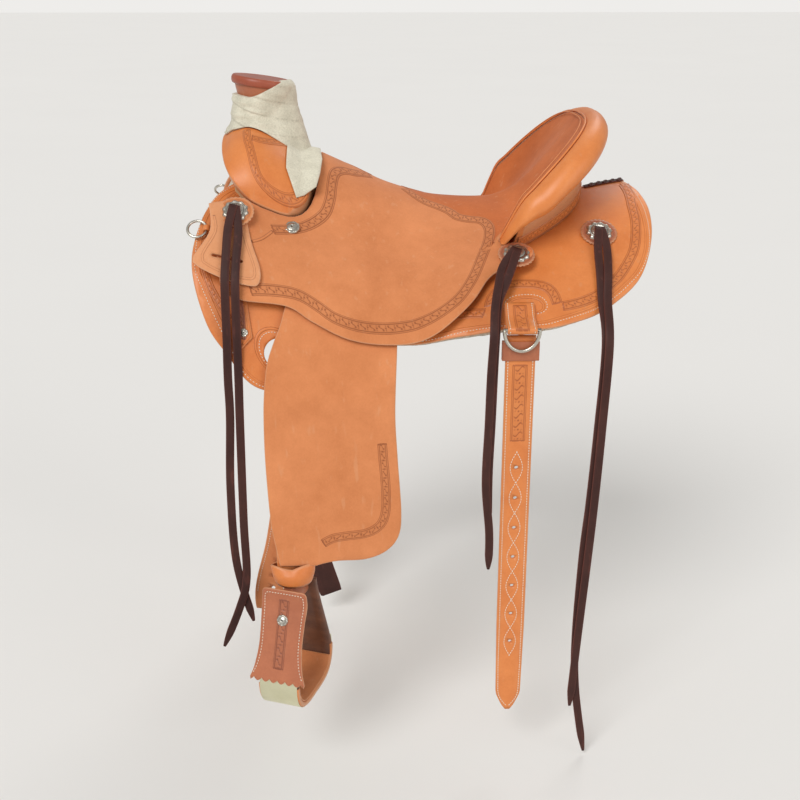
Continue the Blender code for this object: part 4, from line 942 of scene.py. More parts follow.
SKIRT_OUTLINE = (
    flow([(-235, 66), (-272, 119), (-294, 190), (-298, 250), (-277, 323), (-249, 362), (-225, 389),
          (-200, 395), (-160, 384), (-128, 350), (-104, 296), (-60, 280), (60, 272), (130, 283),
          (192, 295), (250, 283), (300, 255), (340, 218), (362, 160), (368, 100), (360, 50), (344, 3)])
    + [(344, 3), (262, 3), (240, 30), (-160, 30)])
FLEECE_OUTLINE = (
    flow([(-233, 68), (-268, 121), (-290, 191), (-293, 250), (-272, 300), (-200, 306), (-104, 290),
          (-60, 277), (60, 268), (130, 279), (192, 291), (248, 279), (297, 252), (336, 216), (358, 160),
          (364, 100), (356, 52), (341, 6)])
    + [(341, 6), (265, 6), (243, 33), (-158, 33)])
REAR_BORDER = ((343, 22), (345.6, 53), (344.5, 89), (344.2, 119.5), (340.3, 149.5), (334.1, 173.7),
               (322.1, 195.8), (307.4, 215.7), (290.8, 230), (271.2, 245.4), (249.5, 256.1), (228.8, 261.7),
               (219, 262.5))
ARCH_BORDER = ((212.8, 259.1), (209.2, 243), (201.8, 230), (187.9, 221.3), (168.8, 215.1), (149.7, 211.4),
               (132.3, 215), (121.8, 226.4), (118.3, 240.2))
LOW_BORDER = ((112, 248), (91.4, 240.5), (70.7, 237), (40, 234), (0, 234), (-50, 240))
FRONT_BORDER = ((-236, 96), (-247, 113), (-257, 132), (-267, 157), (-275, 185), (-280, 215), (-281, 240),
                (-274.3, 264.3), (-265.9, 280.5), (-257.6, 293.5), (-246, 311))
EDGE_STITCHES = ((-232, 72), (-260.2, 104.7), (-270.6, 121), (-280.5, 143.6), (-288, 166), (-293, 205),
                 (-294, 244.7), (-287.1, 263.5), (-277.7, 285), (-268.5, 305), (-251, 340), (-238.9, 361),
                 (-228, 379), (-213, 388.5), (-196, 389), (-163, 379), (-133, 347), (-109, 293),
                 (-62, 275.5), (60, 267.5), (95, 269), (130, 278), (184.5, 289), (219.5, 284), (258.8, 271),
                 (294.4, 250.5), (321.4, 229), (341, 208.7), (354, 181.6), (360.3, 151.9), (361.5, 114.9),
                 (358.5, 79), (351.5, 40), (343, 12))
OVAL_STITCHES = ((139, 262), (138, 248), (143, 238), (155, 233.8), (178.9, 238), (192.9, 246.6),
                 (198, 258.9), (193.5, 268.2), (184, 271))
SKIRT_BORDERS = (("rear", REAR_BORDER, 17.0), ("arch", ARCH_BORDER, 17.0), ("low", LOW_BORDER, 17.0),
                 ("front", FRONT_BORDER, 13.0))
HOLE_STITCH_RADIUS, HOLE_BEAD_RADIUS = 27.5, 32.5
OVAL_MIDDLE, OVAL_SHRINK = (168, 262), (0.16, 0.2)
SKIRT_MIDDLE, SKIRT_SQUASH, CREASE_IN = (20, 165), 0.6, 5.5
LOCK_HEIGHT, LOCK_FREE = 1.8, 2.0


def ring_line(centre, radius, count=40):
    """Closed line round a pattern point."""
    return [(centre[0] + radius * math.cos(2 * math.pi * i / count),
             centre[1] + radius * math.sin(2 * math.pi * i / count)) for i in range(count + 1)]


BEAD_TOP, BEAD_SIDE, BEAD_FOOT = 0.8, 1.6, 0.1


def bead(height=0.7):
    """Relief of a creased double line with a bead between."""
    def relief(u, v):
        down = abs(v) - BEAD_TOP
        if down < 0:
            return height, 0.0
        if down < BEAD_SIDE:
            return height - down * (height - BEAD_FOOT) / BEAD_SIDE, down / BEAD_SIDE
        return BEAD_FOOT - (down - BEAD_SIDE) * 0.5, 1.0
    return relief


def make_skirt(suffix, side):
    place = on_skirt(side)
    skirt = sheet_piece("skirt_leather_" + suffix, SKIRT_OUTLINE, place, -SKIRT_THICK, 0.0, "smooth", None,
                        ("skirt_" + suffix,))
    carve(skirt, [hole_cutter(place, *RIG_HOLE, RIG_HOLE_RADIUS, segments=40, reach=20.0)])
    for name, line, width in SKIRT_BORDERS:
        strip_piece(f"skirt_border_{name}_{suffix}", curve(line), place, width, stamp(width), "smooth")

    def within_oval(a, b, d):
        (ma, mb), (part_a, part_b) = OVAL_MIDDLE, OVAL_SHRINK
        return place(a + (ma - a) * part_a, b + (mb - b) * part_b, d)

    def within_edge(a, b, d):
        da, db = (a - SKIRT_MIDDLE[0]) * SKIRT_SQUASH, b - SKIRT_MIDDLE[1]
        size = math.hypot(da, db)
        return place(a - da / size * CREASE_IN, b - db / size * CREASE_IN, d)
    edge, oval = curve(EDGE_STITCHES), curve(OVAL_STITCHES, 4.0)
    strip_piece("skirt_hole_bead_" + suffix, ring_line(RIG_HOLE, HOLE_BEAD_RADIUS), place, 4.0, bead(),
                "smooth")
    strip_piece("skirt_oval_bead_" + suffix, oval, within_oval, 4.0, bead(), "smooth")
    stitch_piece("skirt_stitching_" + suffix, [edge, oval, ring_line(RIG_HOLE, HOLE_STITCH_RADIUS)], place)
    strip_piece("skirt_edge_crease_" + suffix, edge, within_edge, 3.4, bead(0.45), "smooth")


def make_fleece(suffix, side):
    high = -SKIRT_THICK - FLEECE_GAP
    place = on_skirt(side)

    def lump(a, b, d):
        locks = noise.noise(Vector((a, b, 0.0)) * 0.09) + 0.6 * noise.noise(Vector((a, b, 9.0)) * 0.22)
        is_top = d > high - FLEECE_THICK + LOCK_FREE
        return place(a, b, d if is_top else d + LOCK_HEIGHT * locks)
    sheet_piece("fleece_lining_" + suffix, FLEECE_OUTLINE, lump, high - FLEECE_THICK, high, "fleece", None,
                ("fleece_" + suffix,), step=5.0, rim=2.5)


# Seat

SEAT_LOW_BORDER = ((-216.9, 264.1), (-195, 256.4), (-173, 250.1), (-154.5, 246.8), (-139.7, 248.2),
                   (-121.2, 254.5), (-101.8, 262.7), (-77.1, 265.5), (-52.2, 264.1), (-24.7, 259.8),
                   (3.1, 253.5), (16.2, 250.3), (40.5, 242.2), (62.5, 231.8), (80.1, 218.4), (98.7, 191.4),
                   (113.7, 156.4), (125, 126.8), (128, 99.8), (119, 80), (100.3, 72.4), (82.8, 64.6),
                   (73.5, 53), (58.4, 42.2), (37.9, 32.5), (20.3, 19.4), (6.1, 4.0))
SEAT_FRONT_BORDER = ((-45.2, 3.0), (-68.9, 18.6), (-87, 26), (-99, 38), (-103.2, 58.2), (-105.5, 79.4),
                     (-111.9, 101.7), (-124.2, 118.6), (-143.7, 137), (-163, 150.5), (-187.9, 162.9))
SEAT_CORNER_LINE = ((-186, 164), (-193, 174), (-202, 185), (-216, 195))
SMALL_CONCHO = (-160, 146)
DISH_EDGE = ([(6.0, -1.0)] + list(SEAT_LOW_BORDER[:16:-1])
             + [(150, 150), (170, 175), (330, 175), (330, -1.0)])
NOTCH_GAP, NOTCH_FRONT_X = 2.5, FORK_X - 40


def inside(outline, x, s):
    """1 where the pattern point lies within an outline, else 0."""
    within = 0
    for (ax, ay), (bx, by) in zip(outline, outline[1:] + outline[:1]):
        if (ay > s) != (by > s) and x < (bx - ax) * (s - ay) / (by - ay) + ax:
            within = 1 - within
    return within


def seat_half_outline():
    """Half of the seat's pattern, from the middle of the fork's notch to the middle of the cantle."""
    notch = [(x, s) for x, s in superellipse(COVER_THICK + TREE_GAP + NOTCH_GAP, 40)
             if s > 0 and x > NOTCH_FRONT_X]
    notch = [(notch[0][0], 0.0)] + notch
    front = flow([notch[-1], (-246, 142), (-259, 170), (-262, 230), (-254, 279)])
    lower = flow([(-254, 279), (-224, 281), (-165, 268), (-131, 277), (-81, 287), (-17, 281), (42, 268),
                  (92, 235), (119, 203), (140, 194), (160, 195), (180, 186), (184, 168), (172, 156),
                  (CANTLE_X + 6, RIM_END_S + 2)])
    return notch[:-1] + front + lower + [(x, s) for x, s, _ in reversed(RIM)]


def make_seat():
    dish = lambda x, s: float(inside(DISH_EDGE, x, abs(s)))
    sheet_piece("seat_leather", mirrored(seat_half_outline()), drape,
                lambda x, s: seat_top(x, s) - SEAT_THICK, seat_top, "rough", None, ("seat",), step=6.0,
                dish=dish)
    for suffix, side in SIDES:
        place = lambda x, s, d, side=side: on_seat(x, side * s, d)
        for name, line, width, relief in (
                ("border_low", SEAT_LOW_BORDER, 18.0, stamp(18.0)),
                ("border_front", SEAT_FRONT_BORDER, 17.0, stamp(17.0)),
                ("corner_crease", SEAT_CORNER_LINE, 4.0, bead())):
            strip_piece(f"seat_{name}_{suffix}", curve(line), place, width, relief, "rough")
        small_concho("seat_screw_concho_" + suffix, place, SMALL_CONCHO, 12.0, "saddle")


# Conchos

def concho_relief(r, turn, radius, petals):
    """Height and tarnish of an engraved concho."""
    share = r / radius
    dome = 0.62 * math.cos(min(share, 1.0) * math.pi / 2) ** 1.5
    petal = 0.5 + 0.5 * math.cos(petals * turn)
    rim_part = smooth_fall(abs(share - 0.84) / 0.14)
    groove = smooth_fall(abs(share - 0.66) / 0.05)
    rays = smooth_fall(abs(share - 0.52) / 0.13) * (0.5 + 0.5 * math.cos(2 * petals * turn))
    pit = smooth_fall((share - 0.08) / 0.10)
    height = 0.22 + dome + rim_part * (0.10 + 0.10 * petal) - groove * 0.10 + rays * 0.05 - pit * 0.30
    dark = min(1.0, groove * 0.9 + (1 - petal) * rim_part * 0.45 + rays * 0.55 + pit)
    return height, dark


def disc_mesh(name, radius, height, scallops, wave, petals, matrix, rings=20, count=96):
    """Round silver piece with a scalloped edge and engraved relief, closed underneath."""
    shape, cells, (depth,) = grid(count, rings + 2, "depth")
    for vert, column, row in cells:
        turn = 2 * math.pi * column / count
        share = (0.0, 1.0)[row] if row < 2 else 1 - (row - 2) / rings
        reach = radius + wave * math.cos(scallops * turn) * smooth_fall((1 - share) / 0.35)
        lift, dark = concho_relief(share * radius, turn, radius, petals)
        z = -0.6 if row < 2 else height * lift * smooth_fall((share - 0.93) / 0.08)
        vert[depth] = dark if row > 1 else 0.0
        vert.co = Vector((math.cos(turn) * share * reach, math.sin(turn) * share * reach, z)) * MM
    return to_mesh(name, weld(shape, matrix))


def stand_on(place, a, b, d):
    """Placement on a surface: local Z out of it and local X along its first number."""
    middle = place(a, b, d)
    out = (place(a, b, d + 1.0) - place(a, b, d)).normalized()
    along = (place(a + 2, b, d) - place(a - 2, b, d)).normalized()
    wide = out.cross(along)
    return Matrix.Translation(middle * MM) @ Matrix((wide.cross(out), wide, out)).transposed().to_4x4()


ROSETTE_RADIUS, ROSETTE_THICK, ROSETTE_POINTS, ROSETTE_TOOTH, ROSETTE_ROWS = 27.0, 2.4, 26, 1.6, 14


def rosette_mesh(name, matrix):
    """Leather rosette with a pinked edge and a pressed ring."""
    count = ROSETTE_POINTS * 8
    shape, cells, (edge, depth) = grid(count, ROSETTE_ROWS, "edge", "depth")
    for vert, column, row in cells:
        turn = 2 * math.pi * column / count
        share = (0.0, 1.0)[row] if row < 2 else 1 - (row - 2) / (ROSETTE_ROWS - 2)
        tooth = abs(math.sin(ROSETTE_POINTS * turn / 2)) ** 0.7
        reach = ROSETTE_RADIUS - ROSETTE_TOOTH + ROSETTE_TOOTH * tooth * smooth_fall((1 - share) / 0.1)
        pressed = smooth_fall(abs(share - 0.86) / 0.05)
        vert[edge] = 1.0 if 0 < row < 3 else 0.0
        vert[depth] = pressed if row > 2 else 0.0
        z = 0.0 if row < 2 else ROSETTE_THICK - 0.5 * pressed - (0.7 if row == 2 else 0.0)
        vert.co = Vector((math.cos(turn) * share * reach, math.sin(turn) * share * reach, z)) * MM
    return to_mesh(name, weld(shape, matrix))


def small_concho(name, place, spot, radius, body):
    """Plain screw-on concho without a rosette."""
    matrix = stand_on(place, *spot, 0.9)
    add_piece(name, disc_mesh(name, radius, radius * 0.38, 8, 0.25, 8, matrix, 14, 64), "silver", body)


CONCHOS = (("front", (-238, 160), KEEPER_HIGH + GAP, "rough"),
           ("seat", (160, 175), JOCKEY_HIGH + GAP, "brown"), ("rear", (287, 137), 1.1, "brown"))
ON_ROSETTE = Matrix.Translation((0, 0, 0.0026))


def make_conchos(suffix, side):
    for name, spot, low, finish in CONCHOS:
        matrix = stand_on(on_skirt(side), *spot, low)
        node = f"{name}_concho_{suffix}"
        add_piece(f"{name}_rosette_{suffix}", rosette_mesh(node, matrix), finish, "saddle")
        add_piece(f"{name}_silver_{suffix}", disc_mesh(node, 19.0, 7.0, 10, 1.0, 10, matrix @ ON_ROSETTE),
                  "silver", None, (node,))


# Front: latigo keeper, collar ring and tab, rig strap

KEEPER_OUTLINE = flow([(-276, 152), (-272, 195), (-293, 236), (-290, 246), (-272, 255), (-244, 262),
                       (-214, 260), (-203, 252), (-202, 232), (-214, 200), (-221, 172), (-226, 150),
                       (-250, 144), (-276, 152)], 5.0)
KEEPER_CREASE = ((-268, 170), (-264, 196), (-281, 234), (-272, 246), (-244, 254), (-219, 252), (-210, 247),
                 (-210, 233), (-222, 202), (-229, 176))
KEEPER_SLOT, KEEPER_SLOT_LENGTH, KEEPER_SLOT_WIDTH = (-247, 232), 44.0, 4.5
COLLAR_EYE, COLLAR_RADIUS, COLLAR_WIRE, COLLAR_HIGH = (-279, 184), 13.5, 2.0, 5.7
RIG_STRAP_OUTLINE = ((-246, 262), (-224, 262), (-214, 326), (-229, 346), (-240, 330))
RIG_STRAP_THICK = 3.0
RIG_STRAP_LINES = (
    ("border", ((-235, 264), (-230, 300), (-228, 334)), 13.0, stamp(13.0, 10.0), "brown"),
    ("crease_a", ((-243, 264), (-237.5, 328), (-229, 341.5)), 2.6, bead(0.45), "smooth"),
    ("crease_b", ((-227, 264), (-217.5, 324.5), (-229, 341.5)), 2.6, bead(0.45), "smooth"))


def make_front(suffix, side):
    place = on_skirt(side)
    slope = lambda base: lambda x, s: base + 0.025 * (s - 150)
    node = "latigo_keeper_" + suffix
    keeper = sheet_piece("keeper_leather_" + suffix, KEEPER_OUTLINE, place, slope(KEEPER_LOW),
                         slope(KEEPER_HIGH), "rough_pale", None, (node,), step=7.0)
    carve(keeper, [slot_cutter(lambda a, b, d: place(a, b, d + KEEPER_HIGH), *KEEPER_SLOT,
                               KEEPER_SLOT_LENGTH, KEEPER_SLOT_WIDTH)])
    strip_piece("keeper_crease_" + suffix, curve(KEEPER_CREASE),
                lambda a, b, d: place(a, b, slope(KEEPER_HIGH)(a, b) + d), 3.4, bead(0.4), "rough_pale",
                BODY[node])

    dressed("collar_tab_" + suffix, "smooth", 0.5)
    x, s = COLLAR_EYE
    spot = lambda ds, d: drape(x, side * (s + ds), d)
    up = (spot(-2, COLLAR_HIGH) - spot(2, COLLAR_HIGH)).normalized()
    normal = (spot(0, COLLAR_HIGH + 1.0) - spot(0, COLLAR_HIGH)).normalized()
    ahead = up.cross(normal)
    if ahead.x > 0:
        ahead = -ahead
    turn = Matrix((ahead, up, ahead.cross(up))).transposed().to_4x4()
    centre = spot(0, GAP + COLLAR_HIGH) + ahead * COLLAR_RADIUS
    ring_piece("collar_ring_wire_" + suffix, COLLAR_RADIUS, COLLAR_WIRE,
               Matrix.Translation(centre * MM) @ turn, "collar_ring_" + suffix)

    sheet_piece("rig_strap_leather_" + suffix, RIG_STRAP_OUTLINE, place, GAP, GAP + RIG_STRAP_THICK, "smooth",
                None, ("rig_strap_" + suffix,), step=6.0)
    on_strap = lambda a, b, d: place(a, b, GAP + RIG_STRAP_THICK + d)
    for name, line, width, relief, finish in RIG_STRAP_LINES:
        strip_piece(f"rig_strap_{name}_{suffix}", line, on_strap, width, relief, finish)
    small_concho("rig_strap_rivet_" + suffix, on_strap, (-226, 323), 6.0, "saddle")


def slot_cutter(place, a, b, length, width):
    """Cutter for a long slot with round ends, made from a stretched cylinder."""
    middle = stand_on(place, a, b, 0.0)
    shape = bmesh.new()
    bmesh.ops.create_cone(shape, cap_ends=True, segments=24, radius1=width / 2, radius2=width / 2, depth=16.0)
    for vert in shape.verts:
        vert.co.x += math.copysign((length - width) / 2, vert.co.x) if abs(vert.co.x) > 0.01 else 0.0
    bmesh.ops.transform(shape, matrix=middle @ Matrix.Scale(MM, 4), verts=shape.verts[:])
    bmesh.ops.recalc_face_normals(shape, faces=shape.faces[:])
    return to_mesh("slot", shape)


def ring_piece(name, radius, wire, matrix, node):
    """Round wire ring in the local XY plane."""
    shape = bmesh.new()
    upright = Matrix.Translation((radius * MM, 0, 0)) @ Matrix.Rotation(math.pi / 2, 4, "X")
    bmesh.ops.create_circle(shape, segments=16, radius=wire * MM, matrix=upright)
    spun(shape, 64, matrix)
    return add_piece(name, to_mesh(name, shape), "silver", None, (node,))


# Fork, horn and wrap

FORK_BORDER = ((-213.5, 30), (-212, 47.8), (-207.6, 63), (-204.4, 78), (-201.5, 93), (-196, 104),
               (-186, 110), (-174, 112.8), (-160, 112.5), (-146.4, 107), (-136, 95), (-133, 78), (-134, 58))
TAIL_BEND_X = -134.0
TAIL_OUTLINE = (curve([(-152, 26), (-146, 10), (-126, 2), (-107, 6)])
                + curve([(-103.4, 36.6), (-107.3, 65.3), (-114.7, 87.4)])
                + [(-145.6, 107.7), (-150, 92), (-155, 75), (-153.5, 54)])
FORK_TOP_BORDER = ((-205, 47), (-193.3, 47), (-180, 43), (-166, 34), (-150, 22))
HORN_STAND = (Matrix.Translation(Vector((HORN_X, 0, HORN_SEAT_Z)) * MM)
              @ Matrix.Rotation(HORN_TILT, 4, "Y"))
HORN_CORE = ((0.0, 86.0), (41.0, 86.0), (42.6, 84.0), (42.4, 79.0), (40.8, 73.5), (38.0, 66.0), (34.5, 58.0),
             (31.5, 46.0), (31.0, 20.0), (33.0, 0.0), (0.0, 0.0))
HORN_CAP = ((0.0, 91.0), (20.0, 90.8), (35.0, 90.3), (39.0, 90.5), (41.0, 91.2), (43.4, 91.0), (45.2, 89.2),
            (46.0, 86.0), (45.8, 82.4), (44.6, 79.6), (43.4, 78.8), (43.6, 81.0), (43.8, 84.7), (42.4, 86.6),
            (0.0, 86.6))
CAP_SHIFT_M = -0.002
FORK_COVER_LOW = FORK_LOW - 0.4


def make_fork():
    over = TREE_GAP + COVER_THICK
    sheet_piece("fork_leather", superellipse(over), leaning, FORK_COVER_LOW,
                lambda x, s: fork_top(x, s) + over, "smooth", None, ("fork_cover",), step=5.0)
    for suffix, side in SIDES:
        for name, line, width in (("", FORK_BORDER, 15.0), ("top_", FORK_TOP_BORDER, 13.0)):
            strip_piece(f"fork_border_{name}{suffix}", curve(line), on_fork(side), width, stamp(width, 12.0),
                        "smooth")
    lathe_piece("horn_core", HORN_CORE, HORN_STAND, "brown", ("horn",))
    lathe_piece("horn_cap", HORN_CAP, HORN_STAND @ Matrix.Translation((CAP_SHIFT_M, 0, 0)), "horn_brown",
                ("horn_cap_leather",))
    make_wrap(on_fork(-1, over + TREE_GAP))


def fork_height(surface, x, y):
    """Height of the fork's face over a point, found by moving the pattern point until it lies there."""
    s, u = abs(y), x
    for _ in range(6):
        spot = surface(u, s, 0.0)
        u += x - spot.x
        s = max(s + abs(y) - abs(spot.y), 0.0)
    return surface(u, s, 0.0).z


WRAP_TURNS, WRAP_ROWS = 144, 64
WRAP_HEM, WRAP_RISE, WRAP_ROLL = 0.06, 0.74, 0.27
WRAP_WAIST, WRAP_TOP, WRAP_OVER_CAP = 43.5, 62.0, 31.5
WRAP_LAP, WRAP_THICK_M = 23.0, 0.0012
TAIL_DRIFT = (0.12, -0.1)


def make_wrap(surface):
    """Mulehide wound round the horn: over the cap's rear edge, out over the fork, with its tail."""
    shape, cells, (depth,) = grid(WRAP_TURNS, WRAP_ROWS, "depth")
    stand = HORN_STAND.copy()
    stand.translation /= MM
    for vert, column, row in cells:
        turn = 2 * math.pi * column / WRAP_TURNS
        t = row / WRAP_ROWS
        c, k = math.cos(turn), math.sin(turn)
        over_cap = smooth_fall((abs(math.remainder(turn + 0.25, 2 * math.pi)) - 0.35) / 1.45)
        top = WRAP_TOP + WRAP_OVER_CAP * over_cap
        rear = max(math.cos(turn + 0.1), 0.0) ** 2.5
        flare = 49.0 + 35.0 * rear + 3.0 * max(-c, 0.0) ** 4
        foot = stand @ Vector((flare * c, flare * k, 20.0))
        low = fork_height(surface, foot.x, foot.y) + 1.0
        low -= (stand @ Vector((flare * c, flare * k, 0.0))).z
        rise = max((t - WRAP_HEM) / WRAP_RISE, 0.0)
        if t < WRAP_HEM:
            # painted shade on the hem, which turns in under the wrap
            r, z, dark = flare - 10.0 * (1 - t / WRAP_HEM), low - 1.0 + t / WRAP_HEM, 0.2
        elif rise <= 1.0:
            z = low + (top - low) * rise
            waist = WRAP_WAIST + 3.4 * over_cap * smooth_fall((78.0 - z) / 20.0)
            r = waist + (flare - waist) * max(1 - rise / (0.30 + 0.66 * rear), 0.0) ** (1.7 - 0.6 * rear)
            r -= 7.0 * over_cap * max((z - 84.0) / 9.5, 0.0) ** 2
            lap = ((z + 9.0 * c - 5.0 * k + 1.5 * math.sin(2 * turn)) / WRAP_LAP) % 1.0
            crease = noise.noise(Vector((c * 2.4, k * 2.4, z * 0.07)))
            fold = noise.noise(Vector((c * 1.3 + 5, k * 1.3, z * 0.16)))
            r += (1.3 * (1 - lap) ** 0.9 - 0.6 + 1.2 * crease + 1.1 * fold) * (1 - 0.6 * over_cap)
            # painted shade: darker along each lap's edge and where the creases sink in
            dark = smooth_fall(lap / 0.07) * 0.55 + max(-crease, 0.0) * 0.4
        else:
            u = min((rise - 1.0) / WRAP_ROLL, 1.0)
            r = WRAP_WAIST - 3.6 * over_cap - (5.0 + 6.0 * (1 - over_cap)) * u
            z = top + 1.4 * math.sin(u * math.pi) * (1 - over_cap) - 0.8 * u * over_cap
            # painted shade, growing as the wrap rolls in over the top
            dark = 0.3 * u
        vert[depth] = min(max(dark, 0.0), 1.0)
        vert.co = Vector((r * c, r * k, z)) * MM
    weld(shape)
    bmesh.ops.solidify(shape, geom=shape.faces[:], thickness=WRAP_THICK_M)
    bmesh.ops.recalc_face_normals(shape, faces=shape.faces[:])
    bmesh.ops.transform(shape, matrix=HORN_STAND, verts=shape.verts[:])
    add_piece("horn_wrapping", to_mesh("horn_wrapping", shape), "mulehide", None, ("horn_wrap",))

    def on_tail(x, s, d):
        past = max(x - TAIL_BEND_X, 0.0)
        spot = surface(min(x, TAIL_BEND_X), s, d)
        return spot + past * Vector((1.0, *TAIL_DRIFT))
    rise = lambda x, s: 2.6 + 1.0 * noise.noise(Vector((x, s, 0)) * 0.05)
    sheet_piece("horn_wrap_tail", TAIL_OUTLINE, on_tail, 0.0, rise, "mulehide", "saddle", step=4.0, rim=1.6)


# Cantle

ROLL_PROFILE = curve([(0.2, -1.0), (3.0, 2.0), (8, 3.5), (17, 3.0), (27, -4.0), (33, -16.0), (30, -30.0),
                      (21, -36.0), (11, -30.0), (5.5, -22.0), (0.2, -14.0)], 3.0)
ROLL_TAPER, ROLL_END, ROLL_FLOOR, ROLL_LIFT = (0.30, 1.8), 7, 5.6, 6
RIM_MARKS, RIM_SHARE = 90, 0.985
RIM_WIRE = Vector((0.3, 0.1, 1.0))
BACK_DROP, BACK_LEAST = 38.0, 6.0


def make_cantle():
    last = len(RIM) - 1
    half = []
    for i in range(last + 1):
        taper = min(1.0, ROLL_TAPER[0] + ROLL_TAPER[1] * (last - i) / last)
        floor = GAP + (JOCKEY_HIGH + ROLL_FLOOR) * smooth_fall((last - ROLL_END - i) / ROLL_LIFT)
        ring = []
        for out, up in ROLL_PROFILE:
            x, s = rim_offset(out * taper + GAP, i)
            ring.append((x, s, max(RIM[i][2] + up * taper, floor + 0.02 * (up + 40))))
        half.append(ring)
    rings = [[(drape(x, sign * s, d), 0.0) for x, s, d in ring]
             for sign, rows in ((-1, reversed(half)), (1, half[1:])) for ring in rows]
    add_piece("cantle_roll_leather", sweep_mesh("cantle_roll", rings), "smooth", None, ("cantle_roll",))

    def on_rim(t, v, d):
        i = min(abs(t) * last, last)
        k = min(int(i), last - 1)
        share = i - k
        a, b = rim_offset(v, k), rim_offset(v, k + 1)
        rise = RIM[k][2] * (1 - share) + RIM[k + 1][2] * share
        x, s = a[0] + (b[0] - a[0]) * share, a[1] + (b[1] - a[1]) * share
        return drape(x, math.copysign(s, t), rise + d)
    marks = [(i / RIM_MARKS - 1) * RIM_SHARE for i in range(2 * RIM_MARKS + 1)]
    for name, v, d, section, finish in (("bead", 0.4, 1.6, round_section(1.5, 10), "smooth"),
                                        ("crease", -6.5, 0.7, round_section(0.9, 8), "rough")):
        swept_piece("cantle_" + name, [on_rim(t, v, d) for t in marks], section, finish, "saddle",
                    across=RIM_WIRE)

    inner, outer = ([rim_offset(GAP + thick, i) for i in range(last - 5)] for thick in (0.0, COVER_THICK))
    outline = ([(x, -s) for x, s in reversed(outer) if s > ON_MIDDLE] + outer + inner[::-1]
               + [(x, -s) for x, s in inner if s > ON_MIDDLE])
    sheet_piece("cantle_back_leather", outline, drape, GAP,
                lambda x, s: max(rim_values(s)[1] - BACK_DROP, BACK_LEAST), "smooth", None, ("cantle_back",),
                step=6.0, rim=0.4, flat_rim=True)
    for suffix, side in SIDES:
        cantle_band("cantle_band_" + suffix, side, last - 9, 5.0, 21.0)


BAND_CELLS, BAND_ROWS, BAND_PITCH, BAND_LIFT = 6, 16, 7.0, 0.2


def cantle_band(name, side, count, low, high):
    """Stamped band along the foot of the cantle's back."""
    relief = stamp(high - low, 12.0)
    shape, cells, (depth,) = grid(count * BAND_CELLS, BAND_ROWS, "depth")
    for vert, column, row in cells:
        i = column / BAND_CELLS
        v = row / BAND_ROWS * (high - low) - (high - low) / 2
        k = min(int(i), count - 1)
        share = i - k
        height, dark = relief(i * BAND_PITCH, v)
        a, b = (rim_offset(GAP + COVER_THICK + BAND_LIFT + height, j) for j in (k, k + 1))
        vert.co = drape(a[0] + (b[0] - a[0]) * share, side * (a[1] + (b[1] - a[1]) * share),
                        (low + high) / 2 + v) * MM
        vert[depth] = dark
    shape.normal_update()
    if sum(face.normal.x for face in shape.faces) < 0:
        bmesh.ops.reverse_faces(shape, faces=shape.faces[:])
    bmesh.ops.solidify(shape, geom=shape.faces[:], thickness=STRIP_THICK_M)
    add_piece(name, to_mesh(name, shape), "smooth", "saddle")


# Fenders and stirrups

FENDER_FRONT = [(-163, -40), (-174, -82), (-185, -109), (-195, -140), (-200, -189), (-201, -250),
                (-199, -310), (-195, -369), (-189, -405), (-184, -432)]
FENDER_REAR = [(-131, -432), (-122, -429), (-99, -425), (-60, -423), (-30, -411), (-12, -388),
               (-8, -350), (-13, -270), (-16, -200), (-12, -115), (-12, -60)]
FENDER_HOLD = ((-70, 114.6), (-150, 121.2))
FENDER_BORDER = ((-39.8, -194), (-37.5, -222), (-35.1, -248), (-33.3, -274), (-31, -301), (-29.8, -328),
                 (-30.5, -349), (-35.5, -366), (-46, -377), (-62, -383.5), (-86, -386.5), (-107, -390),
                 (-122, -398))
LEATHER_WIDTH, LEATHER_THICK = 46.0, 5.0
HOBBLE_BAND = ((31, 14, 285.5, -433.5), (30, 24, 283, -446), (26, 25.5, 280, -462))
LEATHER_TAIL = ((-174, 247, -354), (-186, 236, -426), (-203, 226, -493), (-211, 219, -545))
STIRRUP_LINE = [(27, 13), (29, 0), (38, -24), (50, -60), (60, -96), (65, -122), (60, -144), (46, -158),
                (24, -163), (0, -163)]
PANEL_LINE = [(35.1, 22), (35.6, 0), (44.1, -24), (56.1, -60), (67.1, -92), (73.1, -111)]


def make_fender(suffix, side):
    outline = curve(FENDER_FRONT) + curve(FENDER_REAR)
    outline += [(x, drape(x, s, FENDER_LOW).z) for x, s in FENDER_HOLD]
    mesh = sheet_mesh("fender", outline, on_fender(side), FENDER_LOW, FENDER_HIGH)
    for face in mesh.polygons:
        face.use_smooth = True
    mesh.materials.append(MATERIALS["rough"])
    fender = new_object("fender_leather_" + suffix, mesh)
    body = "fender_" + suffix
    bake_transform(fender)
    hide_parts("fender_top_" + suffix, "fender_" + suffix)
    strip_piece("fender_border_" + suffix, curve(FENDER_BORDER[2:]), on_fender(side, FENDER_HIGH), 15.0,
                stamp(15.0), "rough", body)


LEATHER_TOP_Z, LEATHER_RUN, NECK_TOP, NECK_DROP, NECK_STEPS = -219.0, 70, -430.0, 34.0, 24
LEATHER_BACK = 4.5 / 2 + LEATHER_THICK + 0.3
TAIL_TOP_Z = (-270.0, -284.0)
TAIL_HOLES = (92.0, 66.0, 40.0)
HOBBLE_COLUMNS, HOBBLE_ROWS = 72, 18


